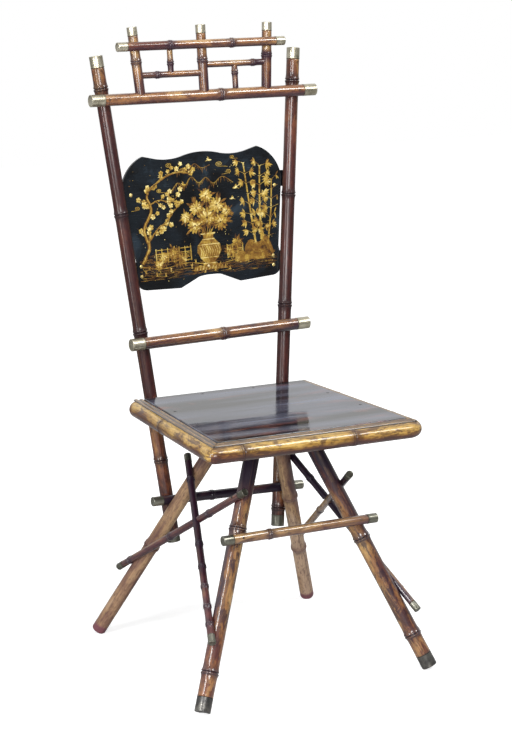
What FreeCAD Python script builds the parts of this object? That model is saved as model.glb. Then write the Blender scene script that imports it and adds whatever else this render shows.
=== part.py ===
import FreeCAD, Part
import math
import os

Vector = FreeCAD.Vector
up = Vector(0, 0, 1)
down = Vector(0, 0, -1)

# All sizes are in millimetres. The chair faces -Y, left is -X, the floor is Z = 0.
# While it is drawn, Y = 0 is the middle of the seat board.

# Fits and joints
fit = 0.12
saddle = 1.0
peg_radius = 2.1
peg_proud = 0.5
peg_depth = 3.0
dowel_radius = 2.0
thin_dowel_radius = 1.5
dowel_reach = 11.0
dowel_root = 5.0

# Metal caps and ferrules
cap_proud = 0.25
cap_wall = 0.9
cap_plate = 1.3
cap_bevel = 0.8

# Seat
seat_height = 432.5
board_front_width = 347.0
board_rear_width = 305.0
board_depth = 321.0
board_thickness = 14.0
board_corner = 3.0
board_edge = 1.6
rail_radius = 13.0
rail_out = 13.2
rear_rail_radius = 11.0
rear_rail_out = 11.2
rail_drop = 18.0
rail_corner = 34.0
mitre_gap = 0.06
mitre_inside = 60.0
mitre_outside = 80.0
rail_overrun = 40.0
rail_ring_rise = 0.7
rail_corner_cover = 2.0
bead_gap = 0.17
bead_width = 5.1
bead_top = 2.6
bead_step = 1.5
bead_rise = 2.4
cleat_width = 22.0
cleat_height = 16.0
cleat_inset = 2.0
rail_dowel_radius = 3.0
rail_dowel_reach = 1.0
rail_dowel_spread = 62.0
side_dowel_spread = 84.0
nail_radius = 1.4
nail_head_radius = 2.4
nail_head_height = 1.2
nail_length = 26.0
nail_inset = 14.5
rear_nail_spread = 49.0
side_nail_rear = 54.0
side_nail_front = -46.0

# Leg block under the board; its cover is what it holds round the leg tops
block_cover = 43.0
block_height = 34.0
block_chamfer = 6.0
socket_cover = 5.0
screw_radius = 2.25
screw_head_radius = 4.5
screw_inset = 15.0
screw_bite = 8.0

# Legs: the axis meets the floor at the foot and the seat's height at the top;
# the front feet stand ahead of the board's front edge, the left one further out, the rear legs keep their place to the posts
front_leg_radius = 13.0
front_foot_x = 213.0
front_foot_ahead = 24.5
left_foot_out = 10.0
left_foot_ahead = 15.0
front_top_x = 32.5
front_top_behind = 126.5
rear_leg_radius = 12.4
rear_foot_x = 211.0
rear_foot_behind_post = 54.6
rear_top_x = 31.0
rear_top_ahead_of_post = 149.4
foot_wear = 2.0
foot_bore_radius = 6.5
foot_bore_depth = 45.0
foot_ferrule_length = 24.0
foot_ferrule_plate = 2.6
leg_ring_rise = 2.0

# Stretchers and braces; the rear stretcher lies in the crotch between posts and rear legs
stretcher_radius = 8.0
stretcher_ring_rise = 1.3
front_stretcher_height = 255.8
front_stretcher_overhang = 36.9
front_stretcher_lift = -0.8
rear_stretcher_play = 0.2
rear_stretcher_overhang = 36.0
rear_stretcher_lift = -3.0
stretcher_cap_length = 19.0
brace_radius = 6.0
brace_ring_rise = 1.2
brace_cap_length = 16.0
low_brace_front_height = 305.5
low_brace_rear_height = 147.5
left_low_brace_drop = 4.5
low_brace_sink = 2.2
high_brace_front_height = 126.5
high_brace_rear_height = 309.5
high_brace_sink = 0.5
left_low_front_overhang = 31.0
left_low_rear_overhang = 53.0
left_high_front_overhang = 41.0
left_high_rear_overhang = 33.0
right_low_front_overhang = 48.0
right_low_rear_overhang = 32.0
right_high_front_overhang = 49.0
right_high_rear_overhang = 33.0
brace_pin_radius = 1.6

# Back posts: place at the seat's height, then how far they spread and lean over one seat height
post_radius = 11.3
post_x = 128.3
post_behind_board = 26.9
post_spread = 45.1
post_lean = 56.2
post_past_crest = 71.5
post_past_leg = 36.0
post_cap_length = 20.0
post_ferrule_length = 20.0
post_ring_rise = 1.5

# Rails of the back: rise above the seat, overhang past the post's axis
crest_radius = 10.0
crest_rise = 500.0
crest_overhang = 33.0
crest_shift = 1.5
crest_cap_length = 25.0
mid_radius = 10.4
mid_rise = 94.2
mid_overhang = 32.8
mid_shift = 3.8
mid_lift = 3.8
mid_cap_length = 24.0
back_ring_rise = 1.4

# Fret on top of the crest rail: rises are measured from the crest rail's axis
upright_radius = 8.5
upright_foot_x = 119.0
upright_top_x = 128.0
upright_past_rail = 31.3
upright_cap_length = 15.0
fret_rail_radius = 7.6
fret_rail_rise = 87.2
fret_rail_overhang = 31.9
fret_rail_shift = -4.8
fret_rail_sink = 4.0
fret_rail_cap_length = 18.0
bar_radius = 5.5
left_bar_rise = 37.8
right_bar_rise = 51.4
strut_radius = 5.0
strut_x = 60.3
strut_past_rail = 3.8
strut_dowel_root = 4.0
strut_dowel_reach = 8.0
fret_ring_rise = 1.3

# Back panel above the seat; its outline is measured in the plane of the posts from its middle
panel_rise = 288.0
panel_shift = 0.5
panel_thickness = 5.5
panel_tilt = 1.6
panel_set_back = 10.3
panel_crest = 116.2
panel_crest_half = 38.0
panel_crest_end = 110.5
panel_valley_x = 62.0
panel_valley = 108.0
panel_valley_end = 86.0
panel_ear_x = 109.5
panel_ear = 116.5
panel_shoulder_x = 139.5
panel_shoulder = 95.0
panel_side_top_x = 153.0
panel_side_top = 60.0
panel_side_foot_x = 136.5
panel_side_foot = -60.0
panel_heel_x = 139.0
panel_heel = -86.5
panel_corner_x = 133.5
panel_corner = -105.0
panel_corner_end = 118.0
panel_low_x = 58.0
panel_low = -113.8
panel_arch_end_x = 22.0
panel_arch_end = -98.0
panel_arch = -96.0
batten_thickness = 7.0
upper_batten_rise = 60.0
upper_batten_width = 28.0
lower_batten_drop = 80.5
lower_batten_width = 31.0
batten_past_post = 2.0
batten_nail_length = 17.5
pin_radius = 1.0
pin_head_radius = 3.1
pin_head_height = 1.4
pin_short_of_back = 1.0
upper_pin_x = 138.0
upper_pin_drop = 11.0
lower_pin_x = 127.0
lower_pin_spread = 8.5

# Nodes of the culms: a ring rises to two ridges with a groove between them, or one on a slim culm
ring_reach = 7.0
ring_ridge = 1.5
ring_groove = 0.8
slim_ring_reach = 4.0
slim_ring_ridge = 0.8
slim_limit = 8.2

# Places of the rings, as shares of the culm's length from its left, front or lower end;
# the seat rails run round the seat from the front left corner. Left is -1 and right is 1.
rail_rings = {
    "front": (0.179, 0.650),
    "right": (0.261, 0.674),
    "rear": (0.318, 0.651),
    "left": (0.363, 0.794),
}
front_leg_rings = {-1: (0.138, 0.669), 1: (0.138, 0.540)}
rear_leg_rings = {-1: (0.414, 0.647), 1: (0.287, 0.573)}
post_rings = {-1: (0.173, 0.439, 0.681, 0.935), 1: (0.039, 0.248, 0.467, 0.697, 0.933)}
crest_rings = (0.570,)
mid_rings = (0.512,)
front_stretcher_rings = (0.298,)
rear_stretcher_rings = (0.388,)
low_brace_rings = (0.27, 0.57, 0.90)
high_brace_rings = (0.30, 0.78)
upright_rings = {"left": (0.517,), "centre": (0.502,), "right": (0.534,)}
fret_rail_rings = (0.311, 0.679)
left_bar_rings = (0.295,)
right_bar_rings = (0.781,)
left_strut_rings = (0.354,)
right_strut_rings = (0.714,)

# Sizes that follow from the ones above
broad_ring = ((-ring_reach, 0.0), (-ring_ridge, 0.9), (-ring_groove, 0.3),
              (ring_groove, 0.3), (ring_ridge, 1.0), (ring_reach, 0.0))
slim_ring = ((-slim_ring_reach, 0.0), (-slim_ring_ridge, 1.0), (slim_ring_ridge, 1.0), (slim_ring_reach, 0.0))
half_depth = board_depth / 2
front_foot_y = -half_depth - front_foot_ahead
front_top_y = -half_depth + front_top_behind
post_y = half_depth + post_behind_board
rear_foot_y = post_y + rear_foot_behind_post
rear_top_y = post_y - rear_top_ahead_of_post
block_half_width = max(front_top_x, rear_top_x) + block_cover
block_front = front_top_y - block_cover
block_rear = rear_top_y + block_cover
floor_reach = 2 * (front_foot_x + left_foot_out + rear_foot_y)
floor_depth = seat_height
post_splay = post_spread / seat_height
post_rake = post_lean / seat_height
rear_leg_slope = (rear_top_y - rear_foot_y) / seat_height
crotch = post_radius + 2 * stretcher_radius + rear_leg_radius + rear_stretcher_play
rear_stretcher_height = (post_y - post_lean - rear_foot_y - crotch) / (rear_leg_slope - post_rake)
crest_height = seat_height + crest_rise
post_top = crest_height + post_past_crest
mid_height = seat_height + mid_rise
fret_rail_height = crest_height + fret_rail_rise
upright_top = fret_rail_height + upright_past_rail
left_bar_height = crest_height + left_bar_rise
right_bar_height = crest_height + right_bar_rise
strut_top = fret_rail_height + strut_past_rail
panel_height = seat_height + panel_rise
upper_batten_height = panel_height + upper_batten_rise
lower_batten_height = panel_height - lower_batten_drop

parts = {}


def unit(vector):
    return vector / vector.Length


def revolved(profile, start, direction):
    """A solid turned from (radius, along) corners about the line from start in direction."""
    corners = [Vector(radius, 0, along) for radius, along in profile]
    face = Part.Face(Part.makePolygon(corners + corners[:1]))
    solid = face.revolve(Vector(0, 0, 0), up, 360)
    solid.Placement = FreeCAD.Placement(start, FreeCAD.Rotation(up, direction))
    return solid


def slab(corners, low, high):
    """An upright prism over plan corners, between two heights."""
    wire = Part.makePolygon([Vector(x, y, low) for x, y in corners + corners[:1]])
    return Part.Face(wire).extrude(up * (high - low))


def slot(middle, along, outward, width, reach, near, far):
    """A box centred on middle across its width, running along, from near to far outward."""
    across = outward.cross(along)
    box = Part.makeBox(2 * reach, width, far - near, Vector(-reach, -width / 2, near))
    box.Placement = FreeCAD.Placement(middle, FreeCAD.Rotation(along, across, outward, "ZXY"))
    return box


class Pole:
    """A round culm on a straight axis, with raised rings at shares of its length and seats for end caps."""

    def __init__(self, start, end, radius, rings=(), rise=0.0, start_cap=0.0, end_cap=0.0, plate=cap_plate):
        self.start = start
        self.end = end
        self.length = (end - start).Length
        self.direction = unit(end - start)
        self.radius = radius
        self.rings = [self.length * share for share in rings]
        self.rise = rise
        self.start_cap = start_cap
        self.end_cap = end_cap
        self.plate = plate

    def at_height(self, height):
        return self.start + self.direction * ((height - self.start.z) / self.direction.z)

    def cap_outer(self):
        return self.radius + cap_proud

    def cap_inner(self):
        return self.cap_outer() - cap_wall

    def culm(self, grow=0.0):
        full = self.radius + grow
        seat = self.cap_inner() - fit + grow
        profile = []
        if self.start_cap:
            near = self.plate + fit
            profile += [(0, near), (seat, near), (seat, self.start_cap + fit), (full, self.start_cap + fit)]
        else:
            profile += [(0, 0), (full, 0)]
        shape = slim_ring if self.radius < slim_limit else broad_ring
        for ring in self.rings:
            profile += [(full + share * self.rise, ring + place) for place, share in shape]
        if self.end_cap:
            far = self.length - self.plate - fit
            shoulder = self.length - self.end_cap - fit
            profile += [(full, shoulder), (seat, shoulder), (seat, far), (0, far)]
        else:
            profile += [(full, self.length), (0, self.length)]
        return revolved(profile, self.start, self.direction)

    def rod(self, grow=0.0):
        return Part.makeCylinder(self.radius + grow, self.length, self.start, self.direction)

    def cap(self, start, direction, length):
        outer = self.cap_outer()
        inner = self.cap_inner()
        rim = [(outer - cap_bevel, 0), (outer, cap_bevel), (outer, length)]
        bore = [(inner, length), (inner, self.plate), (0, self.plate)]
        return revolved([(0, 0)] + rim + bore, start, direction)

    def caps(self):
        found = []
        if self.start_cap:
            found.append(self.cap(self.start, self.direction, self.start_cap))
        if self.end_cap:
            found.append(self.cap(self.end, self.direction * -1, self.end_cap))
        return found


def nearest(first, second):
    """The points of two pole axes that lie closest to each other."""
    gap = second.start - first.start
    turn = first.direction.dot(second.direction)
    spread = 1 - turn * turn
    first_along = (gap.dot(first.direction) - gap.dot(second.direction) * turn) / spread
    second_along = (gap.dot(first.direction) * turn - gap.dot(second.direction)) / spread
    return first.start + first.direction * first_along, second.start + second.direction * second_along


def cut(name, tool):
    parts[name] = parts[name].cut(tool)


def add_pole(name, pole):
    parts[name] = pole.culm()
    return pole


def group(name, solids):
    parts[name] = Part.makeCompound(solids)


def peg(outer, inner, outer_name, inner_name, radius):
    """A peg driven through the outer pole into the inner one, across both axes."""
    first, second = nearest(outer, inner)
    inward = unit(second - first)
    start = first - inward * (outer.radius + peg_proud)
    length = (second - start).Length + peg_depth
    hole = Part.makeCylinder(radius + fit, length + fit, start, inward)
    cut(outer_name, hole)
    cut(inner_name, hole)
    return Part.makeCylinder(radius, length, start, inward)


def dowel(first_name, second_name, middle, direction, radius, root, reach):
    """A hidden dowel across a butt joint: root in the first piece, reach in the second."""
    length = root + reach + 2 * fit
    hole = Part.makeCylinder(radius + fit, length, middle - direction * (root + fit), direction)
    cut(first_name, hole)
    cut(second_name, hole)
    return Part.makeCylinder(radius, root + reach, middle - direction * root, direction)


def halve(inner, outer, inner_name, outer_name, outward):
    """A cross-halving: each pole loses the half that the other one fills."""
    first, second = nearest(inner, outer)
    normal = unit(inner.direction.cross(outer.direction))
    if normal.dot(outward) < 0:
        normal = normal * -1
    level = ((first + normal * inner.radius) + (second - normal * outer.radius)) / 2
    span = inner.radius + outer.radius
    outer_width = 2 * (outer.radius + fit)
    inner_width = 2 * (inner.radius + fit)
    inner_slot = slot(level, outer.direction, normal, outer_width, 3 * span, -fit / 2, 2 * span)
    outer_slot = slot(level, inner.direction, normal, inner_width, 3 * span, -2 * span, fit / 2)
    cut(inner_name, inner_slot)
    cut(outer_name, outer_slot)


side_word = {-1: "left", 1: "right"}

# Seat board, trapezoid in plan
side_run = (board_rear_width - board_front_width) / 2
side_slant = math.hypot(side_run, board_depth) / board_depth


def side_x(y, out):
    """Half width of the seat's outline at y, moved outward by out."""
    return board_front_width / 2 + side_run * (y + half_depth) / board_depth + out * side_slant


def corner(side, end, side_out, end_out):
    """A corner of the outline; end is -1 in front and 1 at the rear."""
    y = end * (half_depth + end_out)
    return (side * side_x(y, side_out), y)


def outline(out, rear_out):
    front = [corner(-1, -1, out, out), corner(1, -1, out, out)]
    return front + [corner(1, 1, out, rear_out), corner(-1, 1, out, rear_out)]


board_bottom = seat_height - board_thickness
board = slab(outline(0, 0), board_bottom, seat_height)
upright_edges = [edge for edge in board.Edges if abs(edge.tangentAt(edge.FirstParameter).z) > 0.9]
board = board.makeFillet(board_corner, upright_edges)
top_edges = [edge for edge in board.Edges if edge.BoundBox.ZMin > seat_height - 0.01]
parts["seat_board"] = board.makeFillet(board_edge, top_edges)

# Rails round the board, mitred at the corners, and the beads above them
rail_z = seat_height - rail_drop
swell = rail_radius + rail_out + rail_corner_cover
rear_swell = rear_rail_radius + rear_rail_out + rail_corner_cover
half_swell = rail_radius + rail_corner_cover
rounding = slab(outline(swell, rear_swell), rail_z - half_swell, rail_z + half_swell)
rounding = rounding.makeFillet(rail_corner, [e for e in rounding.Edges if e.BoundBox.ZLength > rail_radius])
level_edges = [edge for edge in rounding.Edges if edge.BoundBox.ZLength < fit]
rounding = rounding.makeFillet(half_swell - 2 * fit, level_edges)
sides = {
    "front": ((-1, -1), (1, -1)),
    "right": ((1, -1), (1, 1)),
    "rear": ((1, 1), (-1, 1)),
    "left": ((-1, 1), (-1, -1)),
}
rails = {}
outward_of = {}
for word, (first, second) in sides.items():
    rear = word == "rear"
    radius = rear_rail_radius if rear else rail_radius
    out = rear_rail_out if rear else rail_out
    near = Vector(*corner(*first, 0, 0), seat_height)
    far = Vector(*corner(*second, 0, 0), seat_height)
    run = unit(far - near)
    outward = run.cross(up)
    outward_of[word] = outward
    axis_shift = outward * out + down * rail_drop
    start = near + axis_shift - run * rail_overrun
    end = far + axis_shift + run * rail_overrun
    rail = Pole(start, end, radius, rail_rings[word], rail_ring_rise)
    rails[word] = rail
    wedge = [corner(*first, -mitre_inside, -mitre_inside), corner(*first, mitre_outside, mitre_outside),
             corner(*second, mitre_outside, mitre_outside), corner(*second, -mitre_inside, -mitre_inside)]
    sector = slab(wedge, rail_z - 3 * rail_radius, seat_height)
    sector_face = [face for face in sector.Faces if face.BoundBox.ZMax < seat_height - 1][0]
    sector = sector_face.makeOffset2D(-mitre_gap).extrude(up * (seat_height - sector_face.BoundBox.ZMin))
    parts["seat_rail_" + word] = rail.culm().common(sector).common(rounding)

    def bead_point(across, drop):
        return near - run * rail_overrun + outward * across + down * drop

    inner = bead_gap
    first_end = inner + bead_width
    second_end = first_end + bead_width
    low_one = bead_top + bead_rise
    low_two = low_one + bead_step
    edges = [
        Part.Arc(bead_point(inner, low_one), bead_point((inner + first_end) / 2, bead_top),
                 bead_point(first_end, low_one)),
        Part.Arc(bead_point(first_end, low_one),
                 bead_point((first_end + second_end) / 2, bead_top + bead_step),
                 bead_point(second_end, low_two)),
        Part.LineSegment(bead_point(second_end, low_two), bead_point(second_end, rail_drop)),
        Part.LineSegment(bead_point(second_end, rail_drop), bead_point(inner, board_thickness)),
        Part.LineSegment(bead_point(inner, board_thickness), bead_point(inner, low_one)),
    ]
    bead_face = Part.Face(Part.Wire([edge.toShape() for edge in edges]))
    bead = bead_face.extrude(run * ((far - near).Length + 2 * rail_overrun))
    parts["seat_bead_" + word] = bead.cut(rail.culm(fit)).common(sector)

# Cleats under the board
cleat_low = board_bottom - cleat_height
cleat_top = board_bottom
inner_inset = cleat_inset + cleat_width
for word, end in (("front", -1), ("rear", 1)):
    plan = [corner(-1, end, -cleat_inset, -cleat_inset), corner(1, end, -cleat_inset, -cleat_inset),
            corner(1, end, -cleat_inset, -inner_inset), corner(-1, end, -cleat_inset, -inner_inset)]
    parts["seat_cleat_" + word] = slab(plan, cleat_low, cleat_top)
for side in (-1, 1):
    stop = -inner_inset - fit
    plan = [corner(side, -1, -cleat_inset, stop), corner(side, 1, -cleat_inset, stop),
            corner(side, 1, -inner_inset, stop), corner(side, -1, -inner_inset, stop)]
    parts["seat_cleat_" + side_word[side]] = slab(plan, cleat_low, cleat_top)

rail_dowels = []
for word in sides:
    rail = rails[word]
    cleat = "seat_cleat_" + word
    spread = side_dowel_spread if word in ("left", "right") else rail_dowel_spread
    middle = (rail.start + rail.end) / 2
    root = inner_inset + rail_out
    for place in (-spread, spread):
        point = middle + rail.direction * place
        rail_name = "seat_rail_" + word
        rail_dowels.append(dowel(
            cleat, rail_name, point, outward_of[word], rail_dowel_radius, root, rail_dowel_reach))
group("rail_dowels", rail_dowels)

nails = []
nail_spots = [(place, half_depth - nail_inset) for place in (-rear_nail_spread, rear_nail_spread)]
for side in (-1, 1):
    for y in (side_nail_rear, side_nail_front):
        nail_spots.append((side * side_x(y, -nail_inset), y))
for x, y in nail_spots:
    top = Vector(x, y, seat_height)
    head = [(0, 0), (nail_head_radius, 0), (nail_head_radius, nail_head_height)]
    shank = [(nail_radius, nail_head_height), (nail_radius, nail_length), (0, nail_length)]
    nails.append(revolved(head + shank, top, down))
    wide = Part.makeCylinder(nail_head_radius + fit, nail_head_height + fit, top, down)
    deep = Part.makeCylinder(nail_radius + fit, nail_length + fit, top, down)
    hole = wide.fuse(deep)
    for name in ["seat_board"] + ["seat_cleat_" + word for word in sides]:
        if parts[name].distToShape(hole)[0] < fit:
            cut(name, hole)
group("seat_nails", nails)

# Legs, slanted sockets in the block, and the feet
block_bottom = board_bottom - block_height
legs = {}


def leg_pole(side, foot_x, foot_y, top_x, top_y, radius, rings, ferrule):
    foot = Vector(side * foot_x, foot_y, 0)
    top = Vector(side * top_x, top_y, seat_height)
    lean = unit(top - foot)
    dip = math.hypot(lean.x, lean.y) * (radius + (cap_proud if ferrule else 0))
    start = foot + lean * ((dip - foot_wear) / lean.z)
    end = foot + lean * ((board_bottom - socket_cover - math.hypot(lean.x, lean.y) * radius) / lean.z)
    return Pole(start, end, radius, rings, leg_ring_rise, ferrule, 0.0, foot_ferrule_plate)


for side in (-1, 1):
    word = side_word[side]
    foot_out = left_foot_out if side < 0 else 0.0
    foot_ahead = left_foot_ahead if side < 0 else 0.0
    legs["front", side] = add_pole("leg_front_" + word, leg_pole(
        side, front_foot_x + foot_out, front_foot_y - foot_ahead, front_top_x, front_top_y,
        front_leg_radius, front_leg_rings[side], foot_ferrule_length))
    legs["rear", side] = add_pole("leg_rear_" + word, leg_pole(
        side, rear_foot_x, rear_foot_y, rear_top_x, rear_top_y, rear_leg_radius, rear_leg_rings[side], 0.0))

block_plan = [(-block_half_width, block_front), (block_half_width, block_front),
              (block_half_width, block_rear), (-block_half_width, block_rear)]
block = slab(block_plan, block_bottom, board_bottom)
low_edges = [edge for edge in block.Edges if edge.BoundBox.ZMax < block_bottom + 0.01]
parts["leg_block"] = block.makeChamfer(block_chamfer, low_edges)
for leg in legs.values():
    socket = Part.makeCylinder(leg.radius + fit, leg.length + fit, leg.start, leg.direction)
    cut("leg_block", socket)

screws = []
screw_length = block_height + screw_bite
cone = screw_head_radius - screw_radius
block_middle = (block_front + block_rear) / 2
screw_x = block_half_width - screw_inset
for x, y in ((0, block_front + screw_inset), (0, block_rear - screw_inset),
             (-screw_x, block_middle), (screw_x, block_middle)):
    foot = Vector(x, y, block_bottom)
    head = [(0, 0), (screw_head_radius, 0), (screw_radius, cone)]
    shank = [(screw_radius, screw_length), (0, screw_length)]
    wide = screw_head_radius + fit
    thin = screw_radius + fit
    long = screw_length + fit
    screws.append(revolved(head + shank, foot, up))
    hole = revolved([(0, 0), (wide, 0), (wide, fit), (thin, cone + fit), (thin, long), (0, long)], foot, up)
    cut("leg_block", hole)
    cut("seat_board", hole)
group("block_screws", screws)

# Back posts, halved into the rear rail and lying against the rear legs


def back_point(x, height, ahead_by):
    """A point level with height, ahead of the plane of the post axes by a level distance."""
    return Vector(x, post_y + (height - seat_height) * post_rake - ahead_by, height)


def post_half(height):
    """Distance of a post's axis from the chair's middle."""
    return post_x + (height - seat_height) * post_splay


def post_axis(side, height):
    return back_point(side * post_half(height), height, 0)


posts = {}
for side in (-1, 1):
    word = side_word[side]
    rear_leg = legs["rear", side]
    end = post_axis(side, post_top)
    crossing = nearest(Pole(post_axis(side, 0), end, post_radius), rear_leg)[0]
    start = crossing - unit(end - crossing) * post_past_leg
    posts[side] = add_pole("back_post_" + word, Pole(
        start, end, post_radius, post_rings[side], post_ring_rise, post_ferrule_length, post_cap_length))
    cut("back_post_" + word, rear_leg.culm(fit))
group("post_top_caps", [posts[side].caps()[1] for side in (-1, 1)])
group("post_ferrules", [posts[side].caps()[0] for side in (-1, 1)])

rail_pegs = []
post_leg_pins = []
for side in (-1, 1):
    word = side_word[side]
    halve(rails["rear"], posts[side], "seat_rail_rear", "back_post_" + word, Vector(0, 1, 0))
    rail_pegs.append(peg(posts[side], rails["rear"], "back_post_" + word, "seat_rail_rear", peg_radius))
    post_leg_pins.append(peg(
        posts[side], legs["rear", side], "back_post_" + word, "leg_rear_" + word, brace_pin_radius))
group("post_leg_pins", post_leg_pins)

# Crest rail and middle rail, saddled on the front of the posts
rake_cosine = 1 / math.hypot(1, post_rake)


def back_rail(name, radius, height, overhang, shift, lift, cap_length, rings, behind):
    """A rail lapped on the front of the posts; lift raises its right end and drops its left end."""
    ahead_by = behind / rake_cosine
    half = post_half(height) + overhang
    start = back_point(shift - half, height - lift, ahead_by)
    end = back_point(shift + half, height + lift, ahead_by)
    rail = add_pole(name, Pole(start, end, radius, rings, back_ring_rise, cap_length, cap_length))
    group(name + "_caps", rail.caps())
    return rail


crest_lap = post_radius + crest_radius - saddle
mid_lap = post_radius + mid_radius - saddle
crest = back_rail(
    "crest_rail", crest_radius, crest_height, crest_overhang, crest_shift, 0,
    crest_cap_length, crest_rings, crest_lap)
mid = back_rail(
    "mid_rail", mid_radius, mid_height, mid_overhang, mid_shift, mid_lift,
    mid_cap_length, mid_rings, mid_lap)
for side in (-1, 1):
    post_name = "back_post_" + side_word[side]
    for rail, name in ((crest, "crest_rail"), (mid, "mid_rail")):
        cut(name, posts[side].culm(fit))
        rail_pegs.append(peg(rail, posts[side], name, post_name, peg_radius))
group("rail_pegs", rail_pegs)

# Stretchers, saddled on the front of the front legs and of the posts


def lean_factor(pole):
    """Share of a level forward shift that counts as distance from a slanted pole to a pole along X."""
    return pole.direction.z / math.hypot(pole.direction.y, pole.direction.z)


stretch_lap = front_leg_radius + stretcher_radius - saddle
rests = {}
for side in (-1, 1):
    front_leg = legs["front", side]
    crossing = front_leg.at_height(front_stretcher_height + side * front_stretcher_lift)
    rests[side] = crossing - Vector(0, stretch_lap / lean_factor(front_leg), 0)
run = unit(rests[1] - rests[-1])
front_stretcher = add_pole("front_stretcher", Pole(
    rests[-1] - run * front_stretcher_overhang,
    rests[1] + run * front_stretcher_overhang,
    stretcher_radius, front_stretcher_rings,
    stretcher_ring_rise, stretcher_cap_length, stretcher_cap_length))
rear_lap = (post_radius + stretcher_radius - saddle) / rake_cosine
rear_stretcher_half = post_half(rear_stretcher_height) + rear_stretcher_overhang
rear_stretcher = add_pole("rear_stretcher", Pole(
    back_point(-rear_stretcher_half, rear_stretcher_height - rear_stretcher_lift, rear_lap),
    back_point(rear_stretcher_half, rear_stretcher_height + rear_stretcher_lift, rear_lap),
    stretcher_radius, rear_stretcher_rings,
    stretcher_ring_rise, stretcher_cap_length, stretcher_cap_length))
stretcher_pegs = []
for side in (-1, 1):
    word = side_word[side]
    cut("front_stretcher", legs["front", side].culm(fit))
    cut("rear_stretcher", posts[side].culm(fit))
    cut("rear_stretcher", legs["rear", side].culm(fit))
    stretcher_pegs.append(peg(
        front_stretcher, legs["front", side], "front_stretcher", "leg_front_" + word, peg_radius))
    stretcher_pegs.append(peg(
        posts[side], rear_stretcher, "back_post_" + word, "rear_stretcher", peg_radius))
group("stretcher_pegs", stretcher_pegs)
group("stretcher_caps", front_stretcher.caps() + rear_stretcher.caps())

# Crossed braces on the outside of the legs, halved where they cross
low_overhangs = {
    -1: (left_low_front_overhang, left_low_rear_overhang),
    1: (right_low_front_overhang, right_low_rear_overhang),
}
low_rear_heights = {-1: low_brace_rear_height - left_low_brace_drop, 1: low_brace_rear_height}
high_overhangs = {
    -1: (left_high_front_overhang, left_high_rear_overhang),
    1: (right_high_front_overhang, right_high_rear_overhang),
}
brace_caps = []
brace_pins = []
for side in (-1, 1):
    word = side_word[side]
    front = legs["front", side]
    rear = legs["rear", side]
    outward = unit(front.direction.cross(rear.direction))
    if outward.x * side < 0:
        outward = outward * -1

    def brace(name, front_height, rear_height, sink, overhangs, rings):
        out = brace_radius - sink
        front_past, rear_past = overhangs
        first = front.at_height(front_height) + outward * (front_leg_radius + out)
        last = rear.at_height(rear_height) + outward * (rear_leg_radius + out)
        run = unit(last - first)
        pole = add_pole(name, Pole(
            first - run * front_past, last + run * rear_past, brace_radius,
            rings, brace_ring_rise, brace_cap_length, brace_cap_length))
        brace_caps.extend([cap.cut(front.culm(fit)).cut(rear.culm(fit)) for cap in pole.caps()])
        for leg, leg_name in ((front, "leg_front_"), (rear, "leg_rear_")):
            cut(name, leg.culm(fit))
            brace_pins.append(peg(pole, leg, name, leg_name + word, brace_pin_radius))
        return pole

    low_name = "brace_low_" + word
    high_name = "brace_high_" + word
    low = brace(low_name, low_brace_front_height, low_rear_heights[side],
                low_brace_sink, low_overhangs[side], low_brace_rings)
    high = brace(high_name, high_brace_front_height, high_brace_rear_height,
                 high_brace_sink, high_overhangs[side], high_brace_rings)
    halve(low, high, low_name, high_name, outward)
group("brace_caps", brace_caps)
group("brace_pins", brace_pins)

# Feet: worn flat where they meet the floor; the plain rear feet show the hollow culm
floor_corner = Vector(-floor_reach, -floor_reach, -floor_depth)
floor_block = Part.makeBox(2 * floor_reach, 2 * floor_reach, floor_depth, floor_corner)
ferrules = []
for side in (-1, 1):
    word = side_word[side]
    ferrules.append(legs["front", side].caps()[0].cut(floor_block))
    rear = legs["rear", side]
    bore = Part.makeCylinder(foot_bore_radius, foot_bore_depth, rear.start, rear.direction)
    cut("leg_rear_" + word, bore)
    cut("leg_rear_" + word, floor_block)
group("foot_ferrules", ferrules)

# Fret on the crest rail
fret_ahead = crest_lap / rake_cosine
uprights = {}
upright_caps = []
fret_dowels = []
for word, share in (("left", -1), ("centre", 0), ("right", 1)):
    name = "fret_upright_" + word
    start = back_point(share * upright_foot_x, crest_height, fret_ahead)
    end = back_point(share * upright_top_x, upright_top, fret_ahead)
    upright = add_pole(name, Pole(
        start, end, upright_radius, upright_rings[word], fret_ring_rise, 0.0, upright_cap_length))
    uprights[word] = upright
    upright_caps.extend(upright.caps())
    cut(name, crest.culm(fit))
    foot = start + upright.direction * crest_radius
    fret_dowels.append(dowel(
        "crest_rail", name, foot, upright.direction, dowel_radius, dowel_root, dowel_reach))
group("fret_upright_caps", upright_caps)

fret_rail_ahead = fret_ahead + (upright_radius + fret_rail_radius - fret_rail_sink) / rake_cosine
fret_rail_half = uprights["right"].at_height(fret_rail_height).x + fret_rail_overhang
fret_rail = add_pole("fret_rail", Pole(
    back_point(fret_rail_shift - fret_rail_half, fret_rail_height, fret_rail_ahead),
    back_point(fret_rail_shift + fret_rail_half, fret_rail_height, fret_rail_ahead),
    fret_rail_radius, fret_rail_rings, fret_ring_rise, fret_rail_cap_length, fret_rail_cap_length))
group("fret_rail_caps", fret_rail.caps())
for word, upright in uprights.items():
    cut("fret_rail", upright.rod(fit))


def fret_bar(name, height, first, second, rings):
    """A level bar butted between two uprights, with a dowel in each end."""
    start = uprights[first].at_height(height)
    end = uprights[second].at_height(height)
    bar = add_pole(name, Pole(start, end, bar_radius, rings, fret_ring_rise))
    for word, point, way in ((first, start, bar.direction), (second, end, bar.direction * -1)):
        cut(name, uprights[word].culm(fit))
        face = point + way * upright_radius
        fret_dowels.append(dowel(
            "fret_upright_" + word, name, face, way, thin_dowel_radius, dowel_root, dowel_reach))
    return bar


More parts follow.
